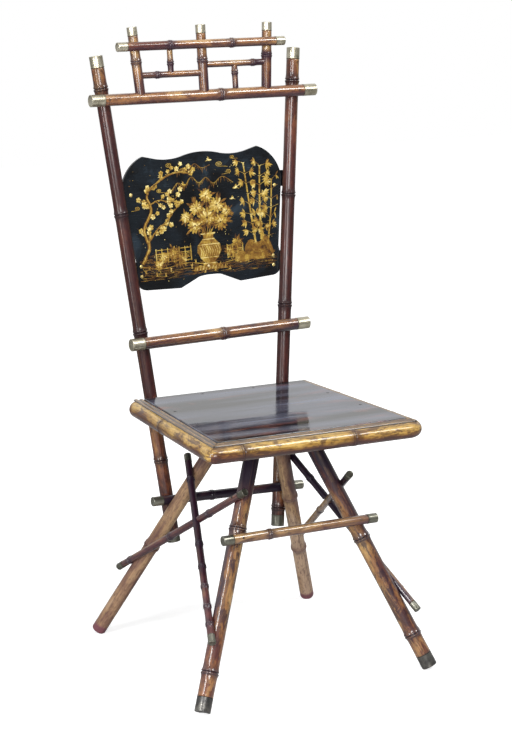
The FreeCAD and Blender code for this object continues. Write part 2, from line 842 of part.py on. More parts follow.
left_bar = fret_bar("fret_bar_left", left_bar_height, "left", "centre", left_bar_rings)
right_bar = fret_bar("fret_bar_right", right_bar_height, "centre", "right", right_bar_rings)

left_strut = add_pole("fret_strut_left", Pole(
    back_point(-strut_x, left_bar_height, fret_ahead), back_point(-strut_x, strut_top, fret_ahead),
    strut_radius, left_strut_rings, fret_ring_rise))
cut("fret_strut_left", left_bar.culm(fit))
cut("fret_rail", left_strut.rod(fit))
right_strut = add_pole("fret_strut_right", Pole(
    back_point(strut_x, crest_height, fret_ahead), back_point(strut_x, right_bar_height, fret_ahead),
    strut_radius, right_strut_rings, fret_ring_rise))
cut("fret_strut_right", crest.culm(fit))
cut("fret_strut_right", right_bar.culm(fit))
foot = left_strut.start + left_strut.direction * bar_radius
fret_dowels.append(dowel(
    "fret_bar_left", "fret_strut_left", foot, left_strut.direction,
    thin_dowel_radius, strut_dowel_root, strut_dowel_reach))
foot = right_strut.start + right_strut.direction * crest_radius
fret_dowels.append(dowel(
    "crest_rail", "fret_strut_right", foot, right_strut.direction,
    thin_dowel_radius, strut_dowel_root, strut_dowel_reach))
group("fret_dowels", fret_dowels)

# Panel between the posts, pinned to two battens on the back of the posts
rake_angle = math.atan(post_rake)
forward = Vector(0, -math.cos(rake_angle), math.sin(rake_angle))
rising = Vector(0, math.sin(rake_angle), math.cos(rake_angle))
right_hand = Vector(1, 0, 0)
plane_turn = FreeCAD.Rotation(right_hand, rising, forward, "ZXY")


def in_plane(height):
    """A frame in the plane of the post axes at the chair's middle: x right, y up the rake, z forward."""
    return FreeCAD.Placement(back_point(0, height, 0), plane_turn)


half_outline = [
    ("arc", (panel_valley_x, panel_valley), (panel_valley_end, panel_crest_end)),
    ("line", (panel_ear_x, panel_ear)),
    ("arc", (panel_shoulder_x, panel_shoulder), (panel_side_top_x, panel_side_top)),
    ("line", (panel_side_foot_x, panel_side_foot)),
    ("line", (panel_heel_x, panel_heel)),
    ("arc", (panel_corner_x, panel_corner), (panel_corner_end, (panel_corner + 2 * panel_low) / 3)),
    ("line", (panel_low_x, panel_low)),
    ("line", (panel_arch_end_x, panel_arch_end)),
]


def panel_edges(sign):
    """The edges of one half of the panel, from the end of the crest to the end of the arch."""
    edges = []
    here = Vector(sign * panel_crest_half, panel_crest_end, 0)
    for step in half_outline:
        there = Vector(sign * step[-1][0], step[-1][1], 0)
        if step[0] == "arc":
            edges.append(Part.Arc(here, Vector(sign * step[1][0], step[1][1], 0), there).toShape())
        else:
            edges.append(Part.LineSegment(here, there).toShape())
        here = there
    return edges


crest_arc = Part.Arc(Vector(-panel_crest_half, panel_crest_end, 0), Vector(0, panel_crest, 0),
                     Vector(panel_crest_half, panel_crest_end, 0)).toShape()
arch_arc = Part.Arc(Vector(-panel_arch_end_x, panel_arch_end, 0), Vector(0, panel_arch, 0),
                    Vector(panel_arch_end_x, panel_arch_end, 0)).toShape()
loop = Part.__sortEdges__([crest_arc, arch_arc] + panel_edges(1) + panel_edges(-1))
panel = Part.Face(Part.Wire(loop)).extrude(Vector(0, 0, panel_thickness))
panel.rotate(Vector(0, 0, 0), up, panel_tilt)
panel.translate(Vector(panel_shift, 0, -panel_set_back))
panel.Placement = in_plane(panel_height).multiply(panel.Placement)
for side in (-1, 1):
    panel = panel.cut(posts[side].culm(fit))
parts["back_panel"] = panel

batten_nails = []
battens = {
    "upper": (upper_batten_height, upper_batten_width),
    "lower": (lower_batten_height, lower_batten_width),
}
for word, (height, width) in battens.items():
    name = "panel_batten_" + word
    reach = post_half(height) + batten_past_post
    back = panel_set_back + fit
    for key, grow in (("piece", 0.0), ("notch", fit)):
        box = Part.makeBox(2 * (reach + grow), width + 2 * grow, batten_thickness + grow,
                           Vector(-reach - grow, -width / 2 - grow, -back - batten_thickness))
        box.Placement = in_plane(height)
        if key == "piece":
            parts[name] = box
        else:
            cut("back_post_left", box)
            cut("back_post_right", box)
    for side in (-1, 1):
        x = side * (reach - batten_past_post)
        spot = in_plane(height).multVec(Vector(x, 0, -back - batten_thickness - peg_proud))
        hole = Part.makeCylinder(nail_radius + fit, batten_nail_length + fit, spot, forward)
        cut(name, hole)
        cut("back_post_" + side_word[side], hole)
        batten_nails.append(Part.makeCylinder(nail_radius, batten_nail_length, spot, forward))
group("batten_nails", batten_nails)

pins = []
pin_spots = [("lower", 0.0, 0.0)]
for side in (-1, 1):
    pin_spots.append(("upper", side * upper_pin_x, -upper_pin_drop))
    pin_spots.append(("lower", side * lower_pin_x, lower_pin_spread))
    pin_spots.append(("lower", side * lower_pin_x, -lower_pin_spread))
pin_length = panel_thickness + batten_thickness - pin_short_of_back
for word, x, rise in pin_spots:
    front = in_plane(battens[word][0]).multVec(Vector(x, rise, panel_thickness - panel_set_back))
    crown = (pin_head_radius * 0.6, -pin_head_height * 0.7)
    dome = [(0, -pin_head_height), crown, (pin_head_radius, 0), (pin_radius, 0)]
    pins.append(revolved(dome + [(pin_radius, pin_length), (0, pin_length)], front, forward * -1))
    hole = Part.makeCylinder(pin_radius + fit, pin_length + fit, front, forward * -1)
    cut("back_panel", hole)
    cut("panel_batten_" + word, hole)
group("panel_pins", pins)

# The origin goes to the middle of the chair's box on the floor
whole = Part.makeCompound(list(parts.values())).BoundBox
shift = Vector(-(whole.XMin + whole.XMax) / 2, -(whole.YMin + whole.YMax) / 2, 0)
os.makedirs("parts", exist_ok=True)
for name, shape in parts.items():
    shape.translate(shift)
    shape.exportStep("parts/" + name + ".step")
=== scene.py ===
"""Looks of the bamboo side chair: culms, metal caps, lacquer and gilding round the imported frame."""
import math

import bmesh
import bpy
import numpy as np
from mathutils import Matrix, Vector, noise


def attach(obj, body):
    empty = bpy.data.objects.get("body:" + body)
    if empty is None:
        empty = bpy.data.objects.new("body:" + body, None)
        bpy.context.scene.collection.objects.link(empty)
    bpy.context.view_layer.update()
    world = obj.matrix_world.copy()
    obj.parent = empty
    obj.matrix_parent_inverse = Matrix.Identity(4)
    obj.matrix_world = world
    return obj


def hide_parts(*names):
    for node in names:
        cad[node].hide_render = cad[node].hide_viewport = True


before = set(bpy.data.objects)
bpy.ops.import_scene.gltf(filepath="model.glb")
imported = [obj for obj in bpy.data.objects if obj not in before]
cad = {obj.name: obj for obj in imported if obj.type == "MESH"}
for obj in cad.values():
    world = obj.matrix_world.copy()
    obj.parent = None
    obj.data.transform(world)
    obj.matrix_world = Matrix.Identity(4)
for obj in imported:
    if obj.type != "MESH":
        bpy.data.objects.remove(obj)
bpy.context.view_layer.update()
scene = bpy.context.scene
scene.view_settings.view_transform = "Standard"
MM = .001
SIDES = ("left", "right")

# Culms by kind, in mm: finish, rise of the node rings, lengths of the caps at the two ends, and for
# each culm the two ends of its axis, its radius and its node rings as shares of its length
CULM_KINDS = [
    ("seat_culm", .7, (0, 0), {
        "seat_rail_front": ((-208.67, -204.99, 414.5), (218.33, -204.99, 414.5), 13, (.179, .650)),
        "seat_rail_right": ((194.11, -230.84, 414.5), (167.89, 169.99, 414.5), 13, (.261, .674)),
        "seat_rail_rear": ((197.33, 140.41, 414.5), (-187.67, 140.41, 414.5), 11, (.318, .651)),
        "seat_rail_left": ((-158.23, 169.99, 414.5), (-184.45, -230.84, 414.5), 13, (.43,)),
    }),
    ("front_leg_culm", 2, (24, 0), {
        "leg_front_left": ((-216.11, -229.49, 4.68), (-38.93, -75.1, 406.94), 13, (.138, .648)),
        "leg_front_right": ((216.02, -214.78, 4.33), (47.85, -74.09, 407.29), 13, (.138, .540)),
    }),
    ("rear_leg_culm", 2, (0, 0), {
        "leg_rear_left": ((-204.25, 208.54, 4.6), (-36.82, 18.79, 406.9), 12.4, (.414,)),
        "leg_rear_right": ((213.92, 208.54, 4.6), (46.49, 18.79, 406.9), 12.4, (.287, .573)),
    }),
    ("post_culm", 1.5, (20, 20), {
        "back_post_left": ((-96.6, 122.63, 174.82), (-183.06, 230.37, 1004), 11.3,
                           (.173, .439, .681, .935)),
        "back_post_right": ((106.26, 122.63, 174.82), (192.73, 230.37, 1004), 11.3,
                            (.039, .248, .467, .697, .933)),
    }),
    ("rail_culm", 1.4, (25, 25), {
        "crest_rail": ((-207.11, 200.61, 932.5), (219.77, 200.61, 932.5), 10, (.570,)),
    }),
    ("rail_culm", 1.4, (24, 24), {
        "mid_rail": ((-162.29, 146.98, 522.9), (179.55, 147.97, 530.5), 10.4, (.512,)),
    }),
    ("thin_culm", 1.3, (19, 19), {
        "front_stretcher": ((-142.03, -155.21, 256.87), (148.29, -147.46, 254.73), 8, (.298,)),
        "rear_stretcher": ((-140.49, 114.4, 253.49), (150.15, 113.62, 247.49), 8, (.388,)),
    }),
    ("thin_culm", 1.2, (16, 16), {
        "brace_low_left": ((-92.81, -139.26, 328.36), (-172.19, 187.56, 121.64), 6,
                           (.270, .570, .900)),
        "brace_high_left": ((-190.44, -214.02, 110.33), (-84.95, 90.77, 335.45), 6,
                            (.095, .185, .287, .39, .51, .86)),
        "brace_low_right": ((95.78, -149.3, 337.01), (176.1, 167.62, 137.04), 6,
                            (.270, .570, .900)),
        "brace_high_right": ((194.56, -209.62, 104.66), (95.16, 90.02, 335.89), 6, (.300, .780)),
    }),
    ("rail_culm", 1.3, (0, 15), {
        "fret_upright_left": ((-114.17, 200.61, 932.5), (-123.17, 216.01, 1051), 8.5, (.517,)),
        "fret_upright_centre": ((4.83, 200.61, 932.5), (4.83, 216.01, 1051), 8.5, (.502,)),
        "fret_upright_right": ((123.83, 200.61, 932.5), (132.83, 216.01, 1051), 8.5, (.534,)),
    }),
    ("rail_culm", 1.3, (18, 18), {
        "fret_rail": ((-157.49, 199.74, 1019.7), (157.55, 199.74, 1019.7), 7.6, (.311, .679)),
    }),
    ("rail_culm", 1.3, (0, 0), {
        "fret_bar_left": ((-117.04, 205.52, 970.3), (4.83, 205.52, 970.3), 5.5, (.295,)),
        "fret_bar_right": ((4.83, 207.29, 983.9), (127.73, 207.29, 983.9), 5.5, (.781,)),
        "fret_strut_left": ((-55.47, 205.52, 970.3), (-55.47, 212.44, 1023.5), 5, (.354,)),
        "fret_strut_right": ((65.13, 200.61, 932.5), (65.13, 207.29, 983.9), 5, (.714,)),
    }),
]

# Stain along a culm: share of its length and how much paler (+) or darker (-) it is there. The dark
# tops of the front legs and of the right rear leg, under the seat, are painted shade; the pale band
# low on the right rear leg is partly painted light.
STAIN_AND_SHADE = {
    "back_post_left": [(0, -.12), (.08, -.1), (.12, .1), (.28, .14), (.31, -.22), (.42, -.2),
                       (.5, -.16), (.8, -.16), (.9, -.1), (.93, .12), (1, .16)],
    "back_post_right": [(0, -.1), (.04, -.1), (.08, .14), (.22, .16), (.26, -.2), (.5, -.2),
                        (.56, -.1), (.66, -.2), (.75, -.1), (.8, -.04), (.86, .1), (.93, .14),
                        (1, .18)],
    # Front legs: the dark values at their tops, under the seat, are painted shade
    "leg_front_left": [(0, .18), (.1, .1), (.14, 0), (.24, -.06), (.36, .06), (.45, .16), (.55, .1),
                       (.62, .12), (.72, .1), (.78, -.16), (.84, -.32), (1, -.34)],
    "leg_front_right": [(0, .26), (.1, .2), (.16, .08), (.24, .03), (.4, 0), (.5, .02), (.55, -.06),
                        (.64, 0), (.74, -.06), (.8, -.22), (.86, -.34), (1, -.34)],
    "brace_high_left": [(0, -.16), (.26, -.12), (.34, -.26), (.6, -.32), (1, -.34)],
    "brace_high_right": [(0, -.02), (.2, -.06), (.4, -.24), (1, -.28)],
    "brace_low_left": [(0, -.1), (.3, -.12), (.4, -.16), (.6, -.14), (1, -.08)],
    "brace_low_right": [(0, -.12), (.22, .04), (.33, .26), (.78, .26), (.86, .06), (1, .1)],
    "front_stretcher": [(0, .06), (.3, .03), (.4, .08), (.55, .04), (.7, -.02), (1, -.06)],
    "crest_rail": [(0, -.02), (.12, -.04), (.25, -.08), (.33, .05), (.6, .08), (.7, .01),
                   (1, -.02)],
    "mid_rail": [(0, .02), (.3, .05), (.48, .05), (.53, -.05), (.68, -.03), (.75, .03), (1, 0)],
    "rear_stretcher": [(0, -.14), (.16, -.24), (.3, -.2), (.5, -.2), (.68, -.2), (.78, -.3),
                       (1, -.36)],
    "fret_rail": [(0, -.02), (.12, -.14), (.3, -.14), (.36, -.01), (.8, -.03), (.9, -.08),
                  (1, -.06)],
    "fret_upright_left": [(0, -.18), (.3, -.12), (.42, -.02), (.7, 0), (.78, .04), (1, 0)],
    "fret_upright_centre": [(0, -.2), (.35, -.12), (.5, -.06), (.62, 0), (.75, -.1), (1, -.06)],
    "fret_upright_right": [(0, -.26), (.4, -.24), (.56, -.34), (.62, -.04), (.75, -.12), (1, -.08)],
    "fret_bar_left": [(0, -.06), (.2, -.12), (.42, -.1), (.5, -.03), (.6, -.08), (1, -.12)],
    "fret_bar_right": [(0, -.04), (.2, .06), (.5, .06), (.66, -.06), (.76, -.14), (.85, -.28),
                       (1, -.12)],
    "fret_strut_left": [(0, -.2), (.2, -.26), (.38, -.22), (.5, 0), (.7, 0), (.85, .06), (1, .04)],
    "fret_strut_right": [(0, -.1), (.1, -.3), (.2, -.3), (.3, -.12), (.5, -.14), (.66, -.2),
                         (.76, -.06), (.86, -.2), (1, -.12)],
    "seat_rail_front": [(0, -.06), (.12, 0), (.2, .06), (.6, .06), (.66, -.02), (.72, .12),
                        (1, .1)],
    "seat_rail_left": [(0, -.5), (.08, -.36), (.13, .1), (.25, -.12), (.36, -.06), (.5, .14),
                       (.58, .16), (.66, -.1), (.76, .04), (.86, -.18), (.92, .28), (1, .36)],
    "seat_rail_right": [(0, -.06), (.06, -.1), (.12, -.34), (1, -.34)],
    "leg_rear_left": [(0, 0), (.12, -.02), (.25, -.1), (.4, -.08), (.55, -.02), (.68, -.02),
                      (.78, -.16), (1, -.2)],
    # Right rear leg: the dark values at its top, under the seat, are painted shade; the pale band low
    # down is partly painted light
    "leg_rear_right": [(0, .06), (.08, .1), (.16, .2), (.25, .4), (.36, .26), (.5, .06),
                       (.62, -.06), (.78, -.2), (1, -.26)],
}

# Where a culm is burnt in dark patches: share of the length and strength
BURNT = {
    "leg_front_right": [(0, .2), (.08, .4), (.14, 1), (.32, .8), (.45, .45), (.6, .4), (.8, .2)],
    "leg_front_left": [(0, .3), (.1, .6), (.3, .2), (.7, .6)],
    "seat_rail_front": [(0, .7), (.18, .7), (.22, .1), (.6, .2), (.68, .7), (1, .5)],
    "seat_rail_left": [(0, .3), (.5, .1), (.8, .25), (1, .25)],
    "fret_upright_left": [(0, .2), (.6, .6), (1, .4)],
    "fret_upright_centre": [(0, .4), (1, .4)],
    "fret_upright_right": [(0, .4), (1, .5)],
    "mid_rail": [(0, .5), (.5, .1), (1, .6)],
}

# Where the stain has gone red: share of the length and strength
RED = {
    "seat_rail_front": [(0, .3), (.16, .35), (.2, .12), (.58, .15), (.64, .4), (.8, .2), (1, .35)],
    "seat_rail_left": [(0, .5), (.12, .2), (.5, .12), (.84, .25), (1, .2)],
    "back_post_left": [(0, .1), (.3, .2), (.9, .25), (.94, 0)],
    "back_post_right": [(0, .2), (.06, .25), (.9, .25), (.94, 0)],
    "leg_front_left": [(0, .75), (.13, .7), (.25, .45), (.34, .05), (.6, .05), (.66, .3), (.76, .3),
                       (.82, 0)],
    "leg_front_right": [(0, .7), (.13, .6), (.2, .2), (.5, .05), (.7, .2), (.78, .1), (.84, 0)],
    "brace_low_left": [(0, .4), (1, .3)],
    "brace_high_left": [(0, .6), (.3, .4), (.5, .1)],
    "crest_rail": [(0, .3), (1, .3)],
    "fret_rail": [(0, .35), (.3, .35), (.4, .15), (1, .15)],
    "front_stretcher": [(0, .1), (.3, .25), (1, .2)],
}
UNMARKED = [(0, 0), (1, 0)]

# The way that the lit side of a culm faces, where that isn't up: painted light and shade make that
# side paler and the opposite side darker
PAINTED_LIT_SIDE = {
    "leg_front_left": (.8, -.5, .2),
    "leg_front_right": (-.9, -.4, .1),
    "leg_rear_left": (.6, -.5, .5),
    "leg_rear_right": (-.7, -.6, .2),
    "back_post_left": (-.2, -1, 0),
    "back_post_right": (-.2, -1, 0),
}
for upright in ("upright_left", "upright_centre", "upright_right", "strut_left", "strut_right"):
    PAINTED_LIT_SIDE["fret_" + upright] = (-.3, -1, 0)
for level in ("crest_rail", "mid_rail", "fret_rail", "fret_bar_left", "fret_bar_right",
              "front_stretcher"):
    PAINTED_LIT_SIDE[level] = (0, -.6, 1)
UP = (0, 0, 1)

# Node ring of a culm: distance from its middle in mm and share of the ring's rise
BROAD_NODE = [(-13, 0), (-9, .1), (-6, .3), (-3.6, .72), (-2.4, .98), (-1.7, 1), (-1, .72),
              (-.45, .12), (0, -.06), (.45, .15), (1, .62), (1.8, .86), (3, .72), (5, .36),
              (8.5, .1), (13, 0)]
SLIM_NODE = [(-9, 0), (-6, .12), (-3.8, .42), (-2.2, .92), (-1.4, 1), (-.6, .5), (0, .3), (.6, .5),
             (1.4, .88), (2.4, .76), (4.4, .3), (9, 0)]
# Least and most share that the curve of a node can hold
NODE_RANGE = (-.5, 1.05)
# Under this radius in mm a culm has slim nodes and a section with fewer sides
SLIM_UNDER = 9.0
BROAD_SIDES, SLIM_SIDES = 44, 36
# The thin line beside a node, and lines where a culm has no swelling (as shares of its length)
SCAR_OFFSET = 4.2 * MM
SCARS = {"leg_rear_left": .52}
# A culm's waviness, and how far its pattern is moved on from that of the culm before it
UNEVENNESS = .6 * MM
UNEVEN_SCALE = 16.0
SEED_STEP = 3.7
GRAIN_STEP = (.31, -.17, .83)

# Gap in a joint; how far a cap stands out from its culm, its wall, and the plate at its end
FIT = .12 * MM
CAP_PROUD = .25 * MM
CAP_WALL = .9 * MM
CAP_PLATE = 1.3 * MM
FOOT_PLATE = 2.6 * MM
# Open foot of a rear leg: radius, depth and lip of its hollow, length and depth of the worn edge,
# and how rosy it is (shares of the culm's length, strengths)
FOOT_BORE = 6.5 * MM
FOOT_BORE_DEPTH = 45 * MM
FOOT_BORE_LIP = .5 * MM
FOOT_WORN_LENGTH = 3.4 * MM
FOOT_WORN_DEPTH = 2.2 * MM
FOOT_ROSY = ((0, .03, .037, .4, .6), (1, 1, .2, .12, 0))

# Places of the sections along a culm, in mm: on plain lengths, at a node, at a joint, at a coped or
# mitred end, at a worn foot and at the edge of a cap, and the least gap between two of them
PLAIN_STEP = 6
RING_STEPS = np.concatenate([np.arange(-13, -4, 1), np.arange(-4, 4, .4), np.arange(4, 13.1, 1)])
JOINT_STEPS = np.arange(-24, 24.01, 1.1)
COPE_STEPS = np.arange(0, 14, .8)
MITRE_STEPS = np.arange(0, 95, 1.2)
FOOT_STEPS = np.array((0, .3, .7, 1.2, 1.8, 2.6, 3.4, 4.5))
CAP_EDGE_STEP = .05
LEAST_STEP = .09
# Rise per length from which an axis counts as upright, and a stand-in for zero in a division
STEEP = .8
TINY = 1e-6


def unit(v):
    return v / np.linalg.norm(v)


class Culm:
    """A bamboo culm's axis, with the places of its nodes and caps, in metres."""

    def __init__(self, name, finish, rise, caps, start, end, radius, rings):
        self.name = name
        self.finish = finish
        self.bare_foot = finish == "rear_leg_culm"
        self.start = np.array(start) * MM
        self.end = np.array(end) * MM
        self.length = float(np.linalg.norm(self.end - self.start))
        self.way = unit(self.end - self.start)
        spare = np.array((0, 0, 1.0)) if abs(self.way[2]) < STEEP else np.array((0, 1.0, 0))
        self.across = unit(np.cross(self.way, spare))
        self.radius = radius * MM
        self.rings = np.array(rings) * self.length
        self.caps = tuple(cap * MM for cap in caps)
        self.rise = rise * MM
        self.slim = radius < SLIM_UNDER
        self.node = np.array(SLIM_NODE if self.slim else BROAD_NODE)

    def ring_distance(self, along):
        gap = np.asarray(along)[..., None] - self.rings
        return np.take_along_axis(gap, np.abs(gap).argmin(-1)[..., None], -1)[..., 0]

    def skin(self, along):
        """Radius at a place along the axis, node rings included."""
        swell = np.interp(self.ring_distance(along) / MM, self.node[:, 0], self.node[:, 1], 0, 0)
        return self.radius + self.rise * swell

    def split(self, points):
        """Place along the axis, and the way out from the axis, of each point."""
        along = (points - self.start) @ self.way
        out = points - self.start - along[:, None] * self.way
        return along, out

    def marked(self, table, along):
        """A table's value at places along the axis."""
        marks = np.array(table.get(self.name, UNMARKED))
        return np.interp(along / self.length, marks[:, 0], marks[:, 1])


culms = {name: Culm(name, finish, rise, caps, *row)
         for finish, rise, caps, rows in CULM_KINDS for name, row in rows.items()}


def crossing(first, second):
    """Places along two culms where their axes pass closest."""
    gap = second.start - first.start
    turn = first.way @ second.way
    spread = 1 - turn * turn
    return ((gap @ first.way - (gap @ second.way) * turn) / spread,
            ((gap @ first.way) * turn - gap @ second.way) / spread)


# Joints of the culms: the first is saddled on the second
SADDLES = [("fret_rail", "fret_upright_left"), ("fret_rail", "fret_upright_centre"),
           ("fret_rail", "fret_upright_right")]
for side in SIDES:
    SADDLES += [("back_post_" + side, "leg_rear_" + side), ("front_stretcher", "leg_front_" + side),
                ("rear_stretcher", "leg_rear_" + side)]
    SADDLES += [(rail, "back_post_" + side)
                for rail in ("crest_rail", "mid_rail", "rear_stretcher")]
    SADDLES += [(brace + side, upright + side) for brace in ("brace_low_", "brace_high_")
                for upright in ("leg_front_", "leg_rear_", "back_post_")]
# The end of the first is coped to the second
COPES = [("fret_upright_left", 0, "crest_rail"), ("fret_upright_centre", 0, "crest_rail"),
         ("fret_upright_right", 0, "crest_rail"), ("fret_bar_left", 0, "fret_upright_left"),
         ("fret_bar_left", 1, "fret_upright_centre"), ("fret_bar_right", 0, "fret_upright_centre"),
         ("fret_bar_right", 1, "fret_upright_right"), ("fret_strut_left", 0, "fret_bar_left"),
         ("fret_strut_left", 1, "fret_rail"), ("fret_strut_right", 0, "crest_rail"),
         ("fret_strut_right", 1, "fret_bar_right")]
# Cross-halvings: the first keeps its inner half, the second its outer half
HALVINGS = [("brace_low_left", "brace_high_left", (-1, 0, 0)),
            ("brace_low_right", "brace_high_right", (1, 0, 0)),
            ("seat_rail_rear", "back_post_left", (0, 1, 0)),
            ("seat_rail_rear", "back_post_right", (0, 1, 0))]


def stations(culm):
    """Places of the sections along a culm: close at nodes, caps and joints, wide between them."""
    plate = FOOT_PLATE if culm.finish == "front_leg_culm" else CAP_PLATE
    low = plate + FIT if culm.caps[0] else 0
    high = culm.length - (plate + FIT if culm.caps[1] else 0)
    places = list(np.arange(low, high, PLAIN_STEP * MM)) + [high]
    for ring in culm.rings:
        places += list(ring + RING_STEPS * MM)
    halved = [pair for a, b, _ in HALVINGS for pair in ((a, b), (b, a))]
    for near, far in SADDLES + halved:
        if near == culm.name:
            places += list(crossing(culm, culms[far])[0] + JOINT_STEPS * MM)
    for near, end, far in COPES:
        if near == culm.name:
            places += list(COPE_STEPS * MM if end == 0 else culm.length - COPE_STEPS * MM)
    if culm.name.startswith("seat_rail"):
        places += list(MITRE_STEPS * MM) + list(culm.length - MITRE_STEPS * MM)
    if culm.bare_foot:
        places += list(FOOT_STEPS * MM)
    for end, cap in enumerate(culm.caps):
        if cap:
            edge = cap if end == 0 else culm.length - cap
            places += [edge - CAP_EDGE_STEP * MM, edge + CAP_EDGE_STEP * MM]
    places = np.unique(np.round(np.clip(places, low, high), 7))
    keep = [places[0]]
    for place in places[1:]:
        if place - keep[-1] > LEAST_STEP * MM:
            keep.append(place)
    return np.array(keep)


class Wiring:
    """Short ways to add nodes to a tree."""

    def __init__(self, tree):
        self.tree = tree

    def feed(self, socket, value):
        if isinstance(value, bpy.types.NodeSocket):
            self.tree.links.new(value, socket)
        else:
            socket.default_value = value

    def add(self, kind, values=None, **settings):
        node = self.tree.nodes.new(kind)
        for key, value in settings.items():
            setattr(node, key, value)
        for key, value in (values or {}).items():
            self.feed(node.inputs[key], value)
        return node

    def math(self, operation, first, second=0.0):
        return self.add("ShaderNodeMath", {0: first, 1: second}, operation=operation).outputs[0]

    def span(self, value, low, high, to_low=0.0, to_high=1.0, clamp=True):
        node = self.add("ShaderNodeMapRange", {"Value": value, "From Min": low, "From Max": high,
                                               "To Min": to_low, "To Max": to_high}, clamp=clamp)
        return node.outputs["Result"]

    def mark(self, name):
        """A float attribute of the points, in a geometry tree."""
        return self.add("GeometryNodeInputNamedAttribute", {"Name": name},
                        data_type="FLOAT").outputs["Attribute"]


def geometry_tree(name, inputs):
    """A geometry tree with named inputs: its wiring and the sockets that the inputs come from."""
    group = bpy.data.node_groups.new(name, "GeometryNodeTree")
    group.interface.new_socket("Geometry", in_out="INPUT", socket_type="NodeSocketGeometry")
    for label, kind in inputs.items():
        group.interface.new_socket(label, in_out="INPUT", socket_type="NodeSocket" + kind)
    group.interface.new_socket("Geometry", in_out="OUTPUT", socket_type="NodeSocketGeometry")
    tree = Wiring(group)
    return tree, tree.add("NodeGroupInput").outputs


def close_tree(tree, geometry, material):
    """The common end of a geometry tree: realized, dressed and handed out."""
    whole = tree.add("GeometryNodeRealizeInstances", {"Geometry": geometry}).outputs["Geometry"]
    dressed = tree.add("GeometryNodeSetMaterial", {"Geometry": whole, "Material": material})
    tree.add("NodeGroupOutput", {"Geometry": dressed.outputs["Geometry"]})
    return tree.tree


def run_tree(thing, group, values, name):
    """Runs a geometry tree on an object and keeps the result as a plain mesh."""
    modifier = thing.modifiers.new(group.name, "NODES")
    modifier.node_group = group
    for item in group.interface.items_tree:
        if item.item_type == "SOCKET" and item.in_out == "INPUT" and item.name in values:
            modifier[item.identifier] = values[item.name]
    graph = bpy.context.evaluated_depsgraph_get()
    mesh = bpy.data.meshes.new_from_object(thing.evaluated_get(graph), depsgraph=graph)
    mesh.name = name
    thing.modifiers.clear()
    old = thing.data
    thing.data = mesh
    bpy.data.meshes.remove(old)
    return mesh


def node_profile(tree, away, shape):
    """Share of a ring's rise at a distance from the node, along one of the two node sections."""
    reach = shape[-1][0]
    low, high = NODE_RANGE
    bend = tree.add("ShaderNodeFloatCurve", {"Value": tree.span(away, -reach * MM, reach * MM)})
    line = bend.mapping.curves[0]
    marks = [((d + reach) / (2 * reach), (share - low) / (high - low)) for d, share in shape]
    line.points[0].location = marks[0]
    line.points[1].location = marks[-1]
    for mark in marks[1:-1]:
        line.points.new(*mark)
    for point in line.points:
        point.handle_type = "AUTO_CLAMPED"
    bend.mapping.update()
    return tree.span(bend.outputs["Value"], 0, 1, low, high, clamp=False)


def culm_tree():
    """Sweeps a round section along an axis, swelling at nodes and turned down under caps."""
    tree, given = geometry_tree("culm", {
        "Radius": "Float", "Ring Rise": "Float", "Slim Nodes": "Bool", "Unevenness": "Float",
        "Seed": "Float", "Sides": "Int", "Material": "Material"})
    curve = tree.add("GeometryNodeMeshToCurve", {"Mesh": given["Geometry"]})
    away = tree.mark("ring_distance")
    share = tree.add("GeometryNodeSwitch", {
        "Switch": given["Slim Nodes"], "False": node_profile(tree, away, BROAD_NODE),
        "True": node_profile(tree, away, SLIM_NODE)}, input_type="FLOAT")
    swell = tree.math("MULTIPLY", share.outputs[0], given["Ring Rise"])
    ripple = tree.add("ShaderNodeTexNoise", {
        "W": given["Seed"], "Scale": UNEVEN_SCALE, "Detail": 2.0}, noise_dimensions="4D")
    ripple = tree.math("SUBTRACT", ripple.outputs["Fac"], .5)
    ripple = tree.math("MULTIPLY", ripple, given["Unevenness"])
    total = tree.math("ADD", tree.math("ADD", given["Radius"], swell), ripple)
    total = tree.math("SUBTRACT", total, tree.mark("turned"))
    section = tree.add("GeometryNodeCurvePrimitiveCircle", {
        "Resolution": given["Sides"], "Radius": 1.0})
    pole = tree.add("GeometryNodeCurveToMesh", {
        "Curve": curve.outputs["Curve"], "Profile Curve": section.outputs["Curve"], "Scale": total,
        "Fill Caps": True})
    smooth = tree.add("GeometryNodeSetShadeSmooth", {"Geometry": pole.outputs["Mesh"]})
    return close_tree(tree, smooth.outputs["Geometry"], given["Material"])


def mesh_object(name, points, faces, edges=()):
    mesh = bpy.data.meshes.new(name)
    mesh.from_pydata(*([tuple(row) for row in rows] for rows in (points, edges, faces)))
    mesh.update()
    thing = bpy.data.objects.new(name, mesh)
    scene.collection.objects.link(thing)
    return thing


def store(mesh, name, values):
    """A point attribute of floats or vectors on a mesh."""
    values = np.asarray(values, np.float32)
    kind, field = ("FLOAT", "value") if values.ndim == 1 else ("FLOAT_VECTOR", "vector")
    mesh.attributes.new(name, kind, "POINT").data.foreach_set(field, values.ravel())


def points_of(mesh):
    flat = np.empty(len(mesh.vertices) * 3, np.float32)
    mesh.vertices.foreach_get("co", flat)
    return flat.reshape(-1, 3).astype(float)


def put_points(mesh, points):
    mesh.vertices.foreach_set("co", points.astype(np.float32).ravel())
    mesh.update()


def face_outwards(mesh, smooth):
    """Turns the faces of a closed mesh outwards; smooth says which of them are shaded smooth."""
    shape = bmesh.new()
    shape.from_mesh(mesh)
    bmesh.ops.recalc_face_normals(shape, faces=shape.faces)
    for face in shape.faces:
        face.smooth = smooth(face)
    shape.to_mesh(mesh)
    shape.free()


def four_sided(face):
    return len(face.verts) == 4


def ring_quads(base, rows, count):
    """Faces between rows of points that each run once round, count points to a row."""
    faces = []
    for k in range(base, base + (rows - 1) * count, count):
        for i in range(count):
            j = (i + 1) % count
            faces.append((k + i, k + count + i, k + count + j, k + j))
    return faces


# Joint fitting on the points of a culm or a cap


